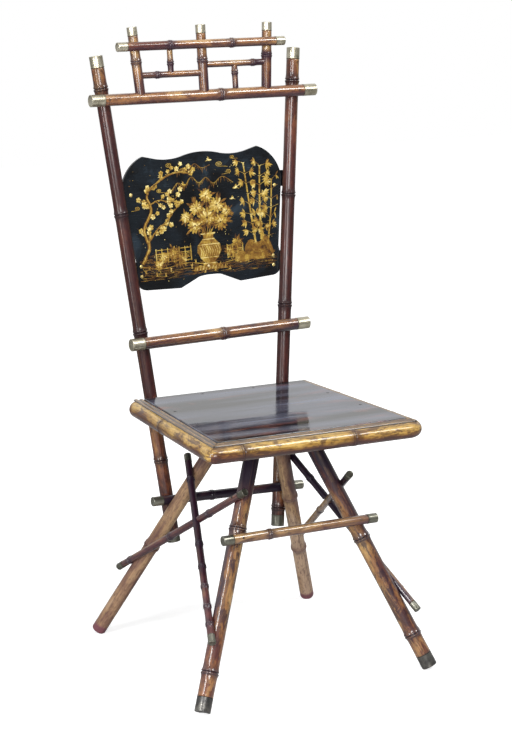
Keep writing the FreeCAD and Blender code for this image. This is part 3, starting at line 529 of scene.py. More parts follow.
def saddle(points, other):
    """Pushes points out of another culm's skin."""
    along, out = other.split(points)
    far = np.linalg.norm(out, axis=1)
    need = other.skin(along) + FIT
    inside = (far < need) & (along > 0) & (along < other.length)
    points[inside] += out[inside] * ((need - far) / np.maximum(far, TINY))[inside, None]
    return points


# How far a cope or a halving reaches, in radii of the other culm
COPE_REACH = 2.2
HALVING_REACH = 4


def cope(points, culm, end, other):
    """Draws the end of a culm back along its own axis to another culm's skin."""
    along = (points - culm.start) @ culm.way
    back = culm.way if end == 0 else -culm.way
    reach = other.radius * COPE_REACH
    near = along < reach if end == 0 else along > culm.length - reach
    place, out = other.split(points)
    slip = back - (back @ other.way) * other.way
    a = slip @ slip
    b = out @ slip
    c = (out * out).sum(1) - (other.skin(place) + FIT) ** 2
    root = b * b - a * c
    step = np.where(root > 0, (-b + np.sqrt(np.maximum(root, 0))) / a, 0)
    behind = near & (step > 0)
    points[behind] += step[behind, None] * back
    return points


def halve(points, culm, other, outward, keep_inner):
    """Takes away the half of a culm that a crossing one fills."""
    first, second = crossing(culm, other)
    normal = unit(np.cross(culm.way, other.way))
    if normal @ np.array(outward) < 0:
        normal = -normal
    level = (culm.start + first * culm.way + other.start + second * other.way) / 2
    out = other.split(points)[1]
    spread = out - (out @ normal)[:, None] * normal
    inside = np.linalg.norm(spread, axis=1) < other.radius + FIT
    inside &= np.linalg.norm(points - level, axis=1) < HALVING_REACH * other.radius
    height = (points - level) @ normal
    goal = -FIT / 2 if keep_inner else FIT / 2
    wrong = inside & (height > goal if keep_inner else height < goal)
    points[wrong] += (goal - height[wrong])[:, None] * normal
    return points


# Plan of the seat in mm: its middle and top, half widths of the board in front and at the rear,
# its two ends, how far out and down the rails' axes lie, and the bend of the rails at each corner
SEAT_MIDDLE = 4.83
SEAT_TOP = 432.5
BOARD_HALF_FRONT = 173.5
BOARD_HALF_REAR = 152.5
BOARD_FRONT = -191.79
BOARD_REAR = 129.21
RAIL_OUT = 13.2
REAR_RAIL_OUT = 11.2
RAIL_DROP = 18
RAIL_BEND = {(-1, -1): 5.0, (1, -1): 17.0, (-1, 1): 15.0, (1, 1): 17.0}
# The line of a mitre, from inside its corner to outside, and its gap; it cuts no rail that ends
# further off or runs along it
MITRE_INSIDE, MITRE_OUTSIDE = -60, 80
MITRE_GAP = .03 * MM
MITRE_NEAR = 120 * MM
ALONG_MITRE = .3


def seat_corner(side, end, side_out, end_out):
    """A corner of the seat's outline, moved out from the board's edges, in metres."""
    depth = BOARD_REAR - BOARD_FRONT
    run = (BOARD_HALF_REAR - BOARD_HALF_FRONT) / depth
    y = BOARD_FRONT - end_out if end < 0 else BOARD_REAR + end_out
    x = BOARD_HALF_FRONT + run * (y - BOARD_FRONT) + side_out * math.hypot(run, 1)
    return np.array((SEAT_MIDDLE + side * x, y)) * MM


def mitre(points, rail):
    """Cuts a seat rail to its mitres and rounds the corners like a bend of the rail itself."""
    for side in (-1, 1):
        for end in (-1, 1):
            inner = seat_corner(side, end, MITRE_INSIDE, MITRE_INSIDE)
            outer = seat_corner(side, end, MITRE_OUTSIDE, MITRE_OUTSIDE)
            line = unit(outer - inner)
            normal = np.array((-line[1], line[0]))
            middle = (rail.start + rail.end)[:2] / 2
            if (middle - inner) @ normal > 0:
                normal = -normal
            slope = rail.way[:2] @ normal
            tip = rail.end if slope > 0 else rail.start
            if abs(slope) < ALONG_MITRE or np.linalg.norm(tip[:2] - outer) > MITRE_NEAR:
                continue
            over = (points[:, :2] - inner) @ normal + MITRE_GAP
            past = over > 0
            points[past] -= (over[past] / slope)[:, None] * rail.way
            end_out = RAIL_OUT if end < 0 else REAR_RAIL_OUT
            bend = RAIL_BEND[side, end]
            centre = seat_corner(side, end, RAIL_OUT - bend, end_out - bend)
            out = points[:, :2] - centre
            far = np.linalg.norm(out, axis=1)
            rise = points[:, 2] - rail.start[2]
            reach = np.hypot(far - bend * MM, rise)
            outside = (reach > rail.radius) & (far > bend * MM)
            outside &= (out[:, 0] * side > 0) & (out[:, 1] * end > 0)
            share = rail.radius / reach[outside]
            goal = bend * MM + (far[outside] - bend * MM) * share
            points[outside, :2] = centre + out[outside] * (goal / far[outside])[:, None]
            points[outside, 2] = rail.start[2] + rise[outside] * share
    return points


# Materials


def paint(text):
    """A colour written as the eye sees it, as the shader's own numbers."""
    parts = [int(text[i:i + 2], 16) / 255 for i in (0, 2, 4)]
    return tuple(c / 12.92 if c < .04045 else ((c + .055) / 1.055) ** 2.4 for c in parts) + (1.0,)


class Finish(Wiring):
    """A node material, with short ways to add its textures and colours."""

    def __init__(self, name):
        self.material = bpy.data.materials.new(name)
        self.material.use_nodes = True
        super().__init__(self.material.node_tree)
        self.shader = self.tree.nodes["Principled BSDF"]

    def attribute(self, name, vector=False):
        node = self.add("ShaderNodeAttribute", attribute_name=name)
        return node.outputs["Vector" if vector else "Fac"]

    def place(self):
        return self.add("ShaderNodeTexCoord").outputs["Object"]

    def noise(self, vector, scale, detail=4.0, rough=.55, twist=0.0):
        node = self.add("ShaderNodeTexNoise", {"Vector": vector, "Scale": scale, "Detail": detail,
                                               "Roughness": rough, "Distortion": twist})
        return node.outputs["Fac"]

    def streaks(self, vector, scale, detail=4.0, rough=.55, twist=0.0, offset=(0, 0, 0)):
        """Noise that is finer one way than another."""
        node = self.add("ShaderNodeMapping", {"Vector": vector, "Scale": scale, "Location": offset})
        return self.noise(node.outputs["Vector"], 1.0, detail, rough, twist)

    def ramp(self, value, stops):
        node = self.add("ShaderNodeValToRGB", {"Fac": value})
        node.color_ramp.interpolation = "EASE"
        band = node.color_ramp.elements
        while len(band) < len(stops):
            band.new(.5)
        for element, (spot, colour) in zip(band, stops):
            element.position = spot
            element.color = paint(colour)
        return node.outputs["Color"]

    def mix(self, share, first, second):
        node = self.add("ShaderNodeMix", data_type="RGBA")
        for key, value in ((0, share), (6, first), (7, second)):
            self.feed(node.inputs[key], paint(value) if isinstance(value, str) else value)
        return node.outputs[2]

    def bump(self, height, strength, distance, under=None):
        values = {"Height": height, "Strength": strength, "Distance": distance}
        if under is not None:
            values["Normal"] = under
        return self.add("ShaderNodeBump", values).outputs["Normal"]

    def finish(self, **sockets):
        for key, value in sockets.items():
            self.feed(self.shader.inputs[key.replace("_", " ")], value)
        return self.material


# Bamboo by kind: colours from the darkest to the palest, lift of the whole tone, strength of the
# mottle, how much darker the under side is painted as shade (and the lit side paler), weight and
# roughness of the varnish, strength of the specks, colour of a worn foot
BAMBOOS = {
    "post_culm": dict(colours="180a10 371917 613824 967043", lift=-.1, mottle=.7, under=.12,
                      varnish=.6, gloss=.1),
    "rail_culm": dict(colours="221121 4c2d25 835a34 b28f5e", lift=-.1, mottle=.55, under=.22,
                      gloss=.1),
    "seat_culm": dict(colours="2c1614 5c3a1a 8d6a29 c09e55", lift=-.03, mottle=.75, under=.42,
                      varnish=.6, gloss=.12),
    "front_leg_culm": dict(colours="1b0f1e 4e2c26 7f5833 ac8956", lift=-.03, mottle=.8, under=.16),
    "rear_leg_culm": dict(colours="4a3432 7d614b 9c805e b79e82", lift=.03, mottle=.2, under=.1,
                          varnish=.15, gloss=.3, speckle=.9, tip="70444c"),
    "thin_culm": dict(colours="1b0f1f 472c33 7c5b3d b59365", lift=-.05, mottle=.55, under=.16),
}
RED_STAINS = ("7a3b28", "3f1a18")


def bamboo(name, colours, lift, mottle, under, varnish=1.0, gloss=.07, speckle=None, tip=None):
    """Stained and varnished bamboo: mottled stain, painted light and shade, fibres along the culm,
    dark swollen nodes.
    """
    deep, dark, warm, pale = colours.split()
    f = Finish(name)
    grain = f.attribute("grain", True)
    ring = f.attribute("ring")
    stain = f.attribute("stain")
    # Stain, with painted light and shade: paler on the culm's lit side, darker on the side away from
    # it
    cloud = f.math("ADD", f.streaks(grain, (34, 34, 8), 4, .6, .5), stain)
    cloud = f.math("ADD", cloud, f.math("MULTIPLY", f.attribute("lie"), under))
    cloud = f.math("ADD", cloud, lift)
    body = f.ramp(cloud, [(.28, deep), (.43, dark), (.55, warm), (.74, pale)])
    # Fibres and streaks
    fibre = f.streaks(grain, (1000, 1000, 9), 3, .6)
    body = f.mix(f.span(fibre, .4, .68, 0, .45), body, f.mix(.6, body, deep))
    streak = f.streaks(grain, (260, 260, 3.2), 3, .65)
    body = f.mix(f.span(streak, .56, .74, 0, .45), body, f.mix(.5, body, pale))
    body = f.mix(f.span(streak, .46, .3, 0, .75), body, deep)
    # Burnt blots, specks and red places
    blot = f.streaks(grain, (80, 80, 26), 5, .68, .7)
    blot = f.math("ADD", blot, f.math("MULTIPLY", f.attribute("burnt"), .08))
    body = f.mix(f.span(blot, .52, .59, 0, mottle), body, deep)
    speck = f.streaks(grain, (300, 300, 110), 3, .6, .15)
    body = f.mix(f.span(speck, .5, .68, 0, speckle or mottle), body, f.mix(.75, body, deep))
    red = f.mix(.7, body, f.mix(f.span(speck, .3, .7), *RED_STAINS))
    body = f.mix(f.attribute("red"), body, red)
    # Dark nodes: a cloud about each, the groove in its middle and the thin line beside it
    edge = f.math("ADD", ring, f.span(blot, .3, .7, -.004, .004))
    body = f.mix(f.span(f.math("ABSOLUTE", edge), .015, .002, 0, .65), body, deep)
    body = f.mix(f.span(ring, .0011, .0004, 0, .95), body, deep)
    body = f.mix(f.span(f.attribute("scar"), .0013, .0004, 0, .7), body, deep)
    if tip:
        worn = f.mix(f.span(speck, .3, .7), tip, f.mix(.4, tip, deep))
        body = f.mix(f.attribute("tip"), body, worn)
    rough = f.span(f.streaks(grain, (120, 120, 30), 3), .3, .7, .36, .52)
    normal = f.bump(fibre, .08, .0004)
    normal = f.bump(f.streaks(grain, (210, 210, 2.2), 2, .5), .8, .0016, normal)
    normal = f.bump(f.streaks(grain, (60, 60, 10), 2), .12, .0012, normal)
    sheen = f.span(stain, -.26, -.06, .2 * varnish, varnish)
    return f.finish(Base_Color=body, Roughness=rough, Normal=normal, Coat_Weight=sheen,
                    Coat_Roughness=gloss, Coat_IOR=1.45, Specular_IOR_Level=.2)


# Metals: colours from dull to bright, least and most roughness, and how metallic
METALS = {
    "pale_cap_metal": ("7a7462 9c9683 b9b3a1", .26, .38, .8),
    "dull_cap_metal": ("434238 69685d 8c8b80", .28, .42, .8),
    "foot_metal": ("2c2b2b 454443 66645f", .26, .4, .8),
    "pin_brass": ("9a8448 d0b976 efe0b0", .25, .35, .8),
    "steel": ("201e1d 3a3735 56534f", .4, .55, .8),
    "nail_iron": ("0b0a0a 151313 201d1c", .5, .65, .3),
}


def cap_metal(name, colours, rough_low, rough_high, metal):
    """Thin pressed metal gone pale with wear, duller in its scratches and at its mouth."""
    dull, mid, bright = colours.split()
    f = Finish(name)
    place = f.place()
    tarnish = f.noise(place, 45, 4, .55, .4)
    body = f.ramp(tarnish, [(.3, dull), (.45, mid), (.7, bright)])
    specks = f.noise(place, 800, 2, .5)
    body = f.mix(f.span(specks, .62, .76, 0, .3), body, dull)
    body = f.mix(f.attribute("grime"), body, f.mix(.75, dull, "14120e"))
    rough = f.span(f.noise(place, 200, 3), .3, .7, rough_low, rough_high)
    normal = f.bump(f.noise(place, 110, 2), .08, .0006)
    return f.finish(Base_Color=body, Metallic=metal, Roughness=rough, Normal=normal)


# The seat board's shallow dish, in metres: where its middle lies, where it passes into an even
# slope, how strongly it bends and how steep the slope is
DISH_MIDDLE = -.183
DISH_END = -.1
DISH_BEND = .2425
DISH_SLOPE = .0403


def board_lacquer(name):
    """Black lacquer with a mirror gloss: wavy, hazy with a painted bluish reflection in bands, finely
    scratched, rubbed reddish in spots.
    """
    f = Finish(name)
    place = f.place()
    rub = f.streaks(place, (9, 34, 9), 4, .6, .6, (2, 0, 0))
    body = f.mix(f.span(rub, .56, .7, 0, .9), "0b090a", "6b3423")
    # Bluish-grey haze in bands: hazed lacquer, and in part a painted reflection of the pale
    # surroundings; it also roughens the gloss
    haze_and_sheen = f.streaks(place, (2, 26, 2), 3, .5, offset=(3, 1, 0))
    body = f.mix(f.span(haze_and_sheen, .38, .66, 0, .8), body, "5d6172")
    scuff = f.streaks(place, (30, 900, 30), 3, .6)
    gloss = f.math("ADD", f.span(scuff, .5, .8, .04, .14), f.span(haze_and_sheen, .45, .7, 0, .12))
    along = f.add("ShaderNodeSeparateXYZ", {0: place}).outputs["Y"]
    dip = f.math("ADD", f.math("MINIMUM", along, DISH_END), -DISH_MIDDLE)
    dip = f.math("MULTIPLY", f.math("MULTIPLY", dip, dip), DISH_BEND)
    slope = f.math("MULTIPLY", f.math("MAXIMUM", f.math("ADD", along, -DISH_END), 0.0), DISH_SLOPE)
    normal = f.bump(f.math("ADD", dip, slope), 1.0, 1.0)
    normal = f.bump(f.streaks(place, (5, 19, 5), 3, .5), .12, .004, normal)
    normal = f.bump(scuff, .012, .0004, normal)
    return f.finish(Base_Color=body, Roughness=gloss, Normal=normal, Specular_IOR_Level=.5)


def panel_lacquer(name):
    """Black lacquer with a painted blue-grey sheen in clouds, and fine scuffs."""
    f = Finish(name)
    place = f.place()
    cloud = f.noise(place, 18, 4, .6, .6)
    # Painted sheen: clouds of blue-grey over the black
    body = f.ramp(cloud, [(.36, "08090b"), (.56, "11161b"), (.74, "242e36")])
    gloss = f.span(f.streaks(place, (60, 60, 500), 3, .6), .4, .8, .16, .34)
    normal = f.bump(f.noise(place, 26, 3, .5), .05, .003)
    return f.finish(Base_Color=body, Roughness=gloss, Normal=normal, Specular_IOR_Level=.4)


def plain_wood(name, dark, light, rough, varnish=0.0):
    """Brown wood with its grain along X, varnished or bare."""
    f = Finish(name)
    place = f.place()
    grain = f.streaks(place, (14, 160, 160), 5, .6, .5)
    body = f.ramp(grain, [(.3, dark), (.7, light)])
    fine = f.noise(place, 220, 3)
    body = f.mix(f.span(fine, .55, .7, 0, .4), body, dark)
    return f.finish(Base_Color=body, Roughness=f.span(grain, .3, .7, rough, rough + .15),
                    Normal=f.bump(grain, .15, .0006), Coat_Weight=varnish, Coat_Roughness=.15)


def reeded_bead(name):
    """Varnished brown reeds, with painted shade in the quirks between them and along their edges at
    the board and the rail.
    """
    f = Finish(name)
    fleck = f.streaks(f.attribute("grain", True), (60, 500, 500), 4, .6, .4)
    body = f.ramp(fleck, [(.34, "33200f"), (.5, "6b4d26"), (.68, "9a7a44")])
    # Painted shade: darker in the quirks and where the reeds meet the board and the rail
    body = f.mix(f.attribute("shade"), body, "0f0a09")
    return f.finish(Base_Color=body, Roughness=.4, Normal=f.bump(fleck, .2, .0006), Coat_Weight=.8,
                    Coat_Roughness=.12, Coat_IOR=1.45)


def gilding(name):
    """Gold leaf and bronze powder in low relief, rubbed through to brown in places."""
    f = Finish(name)
    place = f.place()
    patch = f.noise(place, 70, 4, .6, .5)
    tone = f.math("ADD", f.attribute("gilt"), f.span(patch, .3, .7, -.3, .26))
    body = f.ramp(tone, [(.06, "3c2412"), (.3, "79541f"), (.62, "b3943f"), (.95, "e6d692")])
    worn = f.noise(place, 420, 3, .6)
    body = f.mix(f.span(worn, .56, .68, 0, .75), body, "2a1c10")
    return f.finish(Base_Color=body, Metallic=.45, Roughness=f.span(worn, .3, .7, .36, .55),
                    Normal=f.bump(worn, .25, .0005), Specular_IOR_Level=.4)


finishes = {name: bamboo(name, **look) for name, look in BAMBOOS.items()}
finishes.update({name: cap_metal(name, *look) for name, look in METALS.items()})
finishes["seat_lacquer"] = board_lacquer("seat_lacquer")
finishes["panel_lacquer"] = panel_lacquer("panel_lacquer")
finishes["plain_wood"] = plain_wood("plain_wood", "2a1a10", "553820", .5)
finishes["bead_wood"] = plain_wood("bead_wood", "2a1a0e", "5d4224", .3, .5)
finishes["reeded_bead"] = reeded_bead("reeded_bead")
finishes["panel_gilding"] = gilding("panel_gilding")


def hand_over(thing, node=None):
    """Puts a finished piece on the chair's one body, in place of a node where it stands for one."""
    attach(thing, "root")
    if node:
        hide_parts(node)


# Culms
culm_group = culm_tree()


def saddle_all(points, culm):
    for near, far in SADDLES:
        if near == culm.name:
            points = saddle(points, culms[far])
    return points


def fit_joints(points, culm):
    """Cuts a culm to everything that it meets, and a leg to the floor."""
    if culm.name.startswith("seat_rail"):
        points = mitre(points, culm)
    points = saddle_all(points, culm)
    for near, end, far in COPES:
        if near == culm.name:
            points = cope(points, culm, end, culms[far])
    for inner, outer, outward in HALVINGS:
        if inner == culm.name:
            points = halve(points, culm, culms[outer], outward, True)
        if outer == culm.name:
            points = halve(points, culm, culms[inner], outward, False)
    if culm.name.startswith("leg"):
        points[:, 2] = np.maximum(points[:, 2], 0)
    return points


def bore_foot(mesh, culm):
    """Opens the hollow of a bare culm at its foot."""
    shape = bmesh.new()
    shape.from_mesh(mesh)
    ends = [face for face in shape.faces if not four_sided(face)]
    foot = min(ends, key=lambda face: face.calc_center_median().z)
    rim = list(foot.verts)
    bmesh.ops.delete(shape, geom=[foot], context="FACES_ONLY")
    rings = [rim]
    for depth, radius in ((0, FOOT_BORE + FOOT_BORE_LIP), (FOOT_BORE_LIP, FOOT_BORE),
                          (FOOT_BORE_DEPTH, FOOT_BORE)):
        ring = []
        for vert in rim:
            along, out = culm.split(np.array([vert.co]))
            place = culm.start + culm.way * (along[0] + depth) + unit(out[0]) * radius
            place[2] = max(place[2], 0)
            ring.append(shape.verts.new(place))
        rings.append(ring)
    count = len(rim)
    for first, second in zip(rings, rings[1:]):
        for i in range(count):
            j = (i + 1) % count
            shape.faces.new((first[i], second[i], second[j], first[j]))
    shape.faces.new(rings[-1])
    shape.to_mesh(mesh)
    shape.free()
    face_outwards(mesh, four_sided)


def mark_culm(mesh, culm, number):
    """Writes on a culm's points what its finish asks for: grain, nodes, stain, painted light and
    shade, and wear.
    """
    along, out = culm.split(points_of(mesh))
    upright = np.cross(culm.way, culm.across)
    grain = np.stack([out @ culm.across, out @ upright, along], 1) + number * np.array(GRAIN_STEP)
    store(mesh, "grain", grain)
    gap = culm.ring_distance(along)
    store(mesh, "ring", np.abs(gap))
    scar = np.abs(gap + SCAR_OFFSET)
    if culm.name in SCARS:
        scar = np.minimum(scar, np.abs(along - SCARS[culm.name] * culm.length))
    store(mesh, "scar", scar)
    for name, table in (("stain", STAIN_AND_SHADE), ("burnt", BURNT), ("red", RED)):
        store(mesh, name, culm.marked(table, along))
    # Painted light and shade: how far each point faces the painted lit side, from -1 to 1
    painted_lit_side = unit(np.array(PAINTED_LIT_SIDE.get(culm.name, UP)))
    store(mesh, "lie", out @ painted_lit_side / np.maximum(np.linalg.norm(out, axis=1), TINY))
    store(mesh, "tip", np.interp(along / culm.length, *FOOT_ROSY) if culm.bare_foot else along * 0)


def make_culm(culm, number):
    """Sweeps a culm along its axis, fits it to its joints and hands it over."""
    places = stations(culm)
    name = culm.name + "_culm"
    thing = mesh_object(name, culm.start + places[:, None] * culm.way, [],
                        [(i, i + 1) for i in range(len(places) - 1)])
    store(thing.data, "ring_distance", culm.ring_distance(places))
    capped = (places < culm.caps[0]) | (places > culm.length - culm.caps[1])
    turned = capped * (CAP_WALL - CAP_PROUD + FIT)
    if culm.bare_foot:
        worn = np.clip(1 - places / FOOT_WORN_LENGTH, 0, 1)
        turned = turned + FOOT_WORN_DEPTH * (1 - np.sqrt(1 - worn ** 2))
    store(thing.data, "turned", turned)
    mesh = run_tree(thing, culm_group, {
        "Radius": culm.radius, "Ring Rise": culm.rise, "Slim Nodes": culm.slim,
        "Unevenness": UNEVENNESS, "Seed": number * SEED_STEP,
        "Sides": SLIM_SIDES if culm.slim else BROAD_SIDES, "Material": finishes[culm.finish]}, name)
    for spent in ("ring_distance", "turned"):
        if spent in mesh.attributes:
            mesh.attributes.remove(mesh.attributes[spent])
    put_points(mesh, fit_joints(points_of(mesh), culm))
    if culm.bare_foot:
        bore_foot(mesh, culm)
    mark_culm(mesh, culm, number)
    hand_over(thing, culm.name)


for number, culm in enumerate(culms.values()):
    make_culm(culm, number)

# Caps and ferrules: node, finish and the culm ends that they close
CAPS = {
    "post_top_caps": ("pale_cap_metal", [("back_post_left", 1), ("back_post_right", 1)]),
    "crest_rail_caps": ("pale_cap_metal", [("crest_rail", 0), ("crest_rail", 1)]),
    "mid_rail_caps": ("pale_cap_metal", [("mid_rail", 0), ("mid_rail", 1)]),
    "fret_upright_caps": ("pale_cap_metal", [("fret_upright_left", 1), ("fret_upright_centre", 1),
                                             ("fret_upright_right", 1)]),
    "fret_rail_caps": ("pale_cap_metal", [("fret_rail", 0), ("fret_rail", 1)]),
    "stretcher_caps": ("dull_cap_metal", [("front_stretcher", 0), ("front_stretcher", 1),
                                          ("rear_stretcher", 0), ("rear_stretcher", 1)]),
    "brace_caps": ("dull_cap_metal", [(brace + side, end) for brace in ("brace_low_", "brace_high_")
                                      for side in SIDES for end in (0, 1)]),
    "post_ferrules": ("dull_cap_metal", [("back_post_left", 0), ("back_post_right", 0)]),
    "foot_ferrules": ("foot_metal", [("leg_front_left", 0), ("leg_front_right", 0)]),
}
# Section of a cap in mm. Its end plate lies sunk in a rolled rim: distance in from the end, and
# depth below the outer radius. A plain wall follows, and a rolled mouth: distance back from it, and
# depth. CAP_ENDS is what rim and mouth leave off the wall
CAP_SUNK = .5
CAP_RIM = [(CAP_SUNK, 2.1), (.42, 1.7), (.12, 1.35), (0, 1), (.06, .6), (.3, .2), (.7, .02),
           (1.3, 0), (1.9, .06)]
CAP_MOUTH = [(1.1, .02), (.6, -.1), (.2, -.06), (0, .12)]
CAP_ENDS = 3.4
CAP_WALL_STEPS = 6
CAP_INSIDE = 1.3
CAP_SIDES = 40
# The innermost rings of the end plate's two faces, as shares of the radius
END_FAN, INSIDE_FAN = .35, .4
DENT_SCALE = 90
DENT_DEPTH = .06
# Grime in the mouth, in the sunk end, on the end, at the middle of its two faces, and on old caps
MOUTH_GRIME, SUNK_GRIME, END_GRIME = .7, .45, .12
MIDDLE_GRIME, INSIDE_GRIME = .15, .8
CAP_AGE = {"post_ferrules": .5, "brace_caps": .3}
# How far the grime reaches in mm: back from the mouth, in from the end, and in from the culm's skin
GRIME_BACK, GRIME_IN, GRIME_UNDER = 1.3, .45, 1.2


def cap_rings(culm, length):
    """The turned section of a cap, from the middle of its end round to its bore."""
    outer = (culm.radius + CAP_PROUD) / MM
    inner = outer - CAP_WALL / MM
    length = length / MM
    start, slack = CAP_RIM[-1]
    rim = [(CAP_SUNK, outer * END_FAN)] + [(along, outer - deep) for along, deep in CAP_RIM]
    wall = [(start + (length - CAP_ENDS) * i / CAP_WALL_STEPS, outer - slack)
            for i in range(1, CAP_WALL_STEPS + 1)]
    mouth = [(length - back, outer - deep) for back, deep in CAP_MOUTH] + [(length, inner)]
    bore = [(length * .5, inner), (CAP_INSIDE, inner), (CAP_INSIDE, inner * INSIDE_FAN)]
    return rim + wall + mouth + bore


def cap_grime(culm, length, along, radius):
    if along > length / MM - GRIME_BACK:
        return MOUTH_GRIME
    if along < GRIME_IN and radius < culm.radius / MM - GRIME_UNDER:
        return SUNK_GRIME
    return END_GRIME if along <= CAP_SUNK else 0


def make_caps(node, finish, ends):
    """The caps of one node: turned, slightly dented cups, saddled like the culms they close."""
    points, faces, grime = [], [], []
    age = CAP_AGE.get(node, 0)
    turns = [2 * math.pi * i / CAP_SIDES for i in range(CAP_SIDES)]
    for culm_name, end in ends:
        culm = culms[culm_name]
        length = culm.caps[end]
        tip, inward = (culm.start, culm.way) if end == 0 else (culm.end, -culm.way)
        upright = np.cross(inward, culm.across)
        outward = [math.cos(turn) * culm.across + math.sin(turn) * upright for turn in turns]
        section = cap_rings(culm, length)
        rings = np.array([tip + (along * inward + radius * out) * MM
                          for along, radius in section for out in outward])
        middle = tip + inward * length / 2
        for i, point in enumerate(rings):
            dent = noise.noise(Vector(point * DENT_SCALE)) * DENT_DEPTH * MM
            rings[i] += unit(point - middle) * dent
        rings = saddle_all(rings, culm)
        if node == "foot_ferrules":
            rings[:, 2] = np.maximum(rings[:, 2], 0)
        base = len(points)
        last = base + len(section) * CAP_SIDES
        points += list(rings) + [tip + inward * CAP_SUNK * MM, tip + inward * CAP_INSIDE * MM]
        for along, radius in section:
            grime += [max(age, cap_grime(culm, length, along, radius))] * CAP_SIDES
        grime += [max(age, MIDDLE_GRIME), INSIDE_GRIME]
        faces += ring_quads(base, len(section), CAP_SIDES)
        for i in range(CAP_SIDES):
            j = (i + 1) % CAP_SIDES
            faces.append((last, base + i, base + j))
            faces.append((last + 1, last - CAP_SIDES + j, last - CAP_SIDES + i))
    thing = mesh_object(node + "_metal", points, faces)
    store(thing.data, "grime", grime)
    face_outwards(thing.data, lambda face: True)
    thing.data.materials.append(finishes[finish])
    hand_over(thing, node)


for node, (finish, ends) in CAPS.items():
    make_caps(node, finish, ends)

# Reeded beads between the board and its rails, in mm: distance out from the board, drop below its
# top and depth of painted shade; the foot lies on the rail's round with a gap
BEAD = [(.15, 12, 1), (.15, 3, 1), (.5, 1.9, .8), (1.3, 1.2, .15), (2.6, .9, 0), (3.9, 1.2, .1),
        (5, 2, .6), (5.6, 3, 1), (6.2, 3.1, 1), (6.8, 2.5, .6), (7.9, 2, .1), (9.2, 1.9, 0),
        (10.5, 2.4, .15), (11.7, 3.5, .7), (12.3, 4.75, 1)]
BEAD_FOOT = (12.3, 10, 7, 4, 2)
BEAD_GAP = .15
BEAD_STEPS = 90
BEAD_TRIM = .0004
# The reeds of the left bead are a little broader
LEFT_BROADER = 1.15
REEDS_ABOVE = 5
BEAD_SIDES = {"front": ((-1, -1), (1, -1)), "right": ((1, -1), (1, 1)), "left": ((-1, 1), (-1, -1))}


def make_bead(word):
    """One side's bead, mitred at both ends and fitted on the rail below it."""
    first, second = BEAD_SIDES[word]
    reach = culms["seat_rail_" + word].radius / MM + BEAD_GAP
    section = BEAD + [(out, RAIL_DROP - math.sqrt(reach ** 2 - (RAIL_OUT - out) ** 2), 1)
                      for out in BEAD_FOOT]
    count = len(section)
    points, shade, grain = [], [], []
    for k in range(BEAD_STEPS + 1):
        share = BEAD_TRIM + (1 - 2 * BEAD_TRIM) * k / BEAD_STEPS
        for out, drop, dark in section:
            spread = out * (LEFT_BROADER if word == "left" and drop < REEDS_ABOVE else 1)
            a, b = seat_corner(*first, spread, spread), seat_corner(*second, spread, spread)
            points.append((*(a + (b - a) * share), (SEAT_TOP - drop) * MM))
            shade.append(dark)
            grain.append((share * np.linalg.norm(b - a), out * MM, drop * MM))
    faces = ring_quads(0, BEAD_STEPS + 1, count)
    faces += [tuple(range(count)), tuple(range(BEAD_STEPS * count, (BEAD_STEPS + 1) * count))]
    thing = mesh_object("seat_bead_" + word + "_reeds", points, faces)
    store(thing.data, "shade", shade)
    store(thing.data, "grain", grain)
    face_outwards(thing.data, four_sided)
    thing.data.materials.append(finishes["reeded_bead"])
    hand_over(thing, "seat_bead_" + word)


for word in BEAD_SIDES:
    make_bead(word)

# Gilding of the back panel, drawn in mm in the panel's own plane: u to the right, v up the rake,
# from its middle; the whole drawing is tilted and moved a little, and stands on the panel's face
PANEL_MIDDLE = np.array((4.83, 193.54, 720.5))
PANEL_RIGHT = np.array((1.0, 0, 0))
PANEL_RISING = np.array((0, .128859, .991663))
PANEL_FORWARD = np.array((0, -.991663, .128859))
PANEL_SHIFT = .5
PANEL_TILT = math.radians(1.6)
PANEL_FACE = -4.8
# Height of the plates and lines in mm: the first, the step from each to the next, and their foot
GILT_RISE = .2
GILT_STEP = .0007
GILT_FOOT = -.06
# The same of the strewn motifs, and their relief
STREWN_RISE = .12
STREWN_STEP = .0004
STREWN_RELIEF = .3
CHANCE_SEED = 11


def arc(first, middle, last, steps=14):
    """Points of a round arc through three points of the plane."""
    a, b, c = (complex(*p) for p in (first, middle, last))
    w = (c - a) / (b - a)
    centre = (b - a) * (w - abs(w) ** 2) / (2j * w.imag) + a
    start, through, end = (np.angle(p - centre) for p in (a, b, c))
    sweep = (end - start) % (2 * math.pi)
    if (through - start) % (2 * math.pi) > sweep:
        sweep -= 2 * math.pi
    turns = start + sweep * np.linspace(0, 1, steps)
    return [polar((centre.real, centre.imag), t, abs(a - centre)) for t in turns]


def polar(spot, turn, reach):
    return spot[0] + math.cos(turn) * reach, spot[1] + math.sin(turn) * reach


def panel_outline():
    """The panel's edge, run round from the middle of its crest."""
    crest = arc((-38, 110.5), (0, 116.2), (38, 110.5), 17)[8:]
    half = crest + arc((38, 110.5), (62, 108), (86, 110.5))[1:]
    half += arc((109.5, 116.5), (139.5, 95), (153, 60)) + [(136.5, -60), (139, -86.5)]
    half += arc((139, -86.5), (133.5, -105), (118, -110.9))[1:] + [(58, -113.8), (22, -98)]
    half += arc((22, -98), (12, -96.6), (0, -96), 6)[1:]
    other = [(-u, v) for u, v in half[-2:0:-1]]
    return np.array(half + other)


# The edge, and the least distance of the gilding from it
PANEL_OUTLINE = panel_outline()
PANEL_MARGIN = 4.0


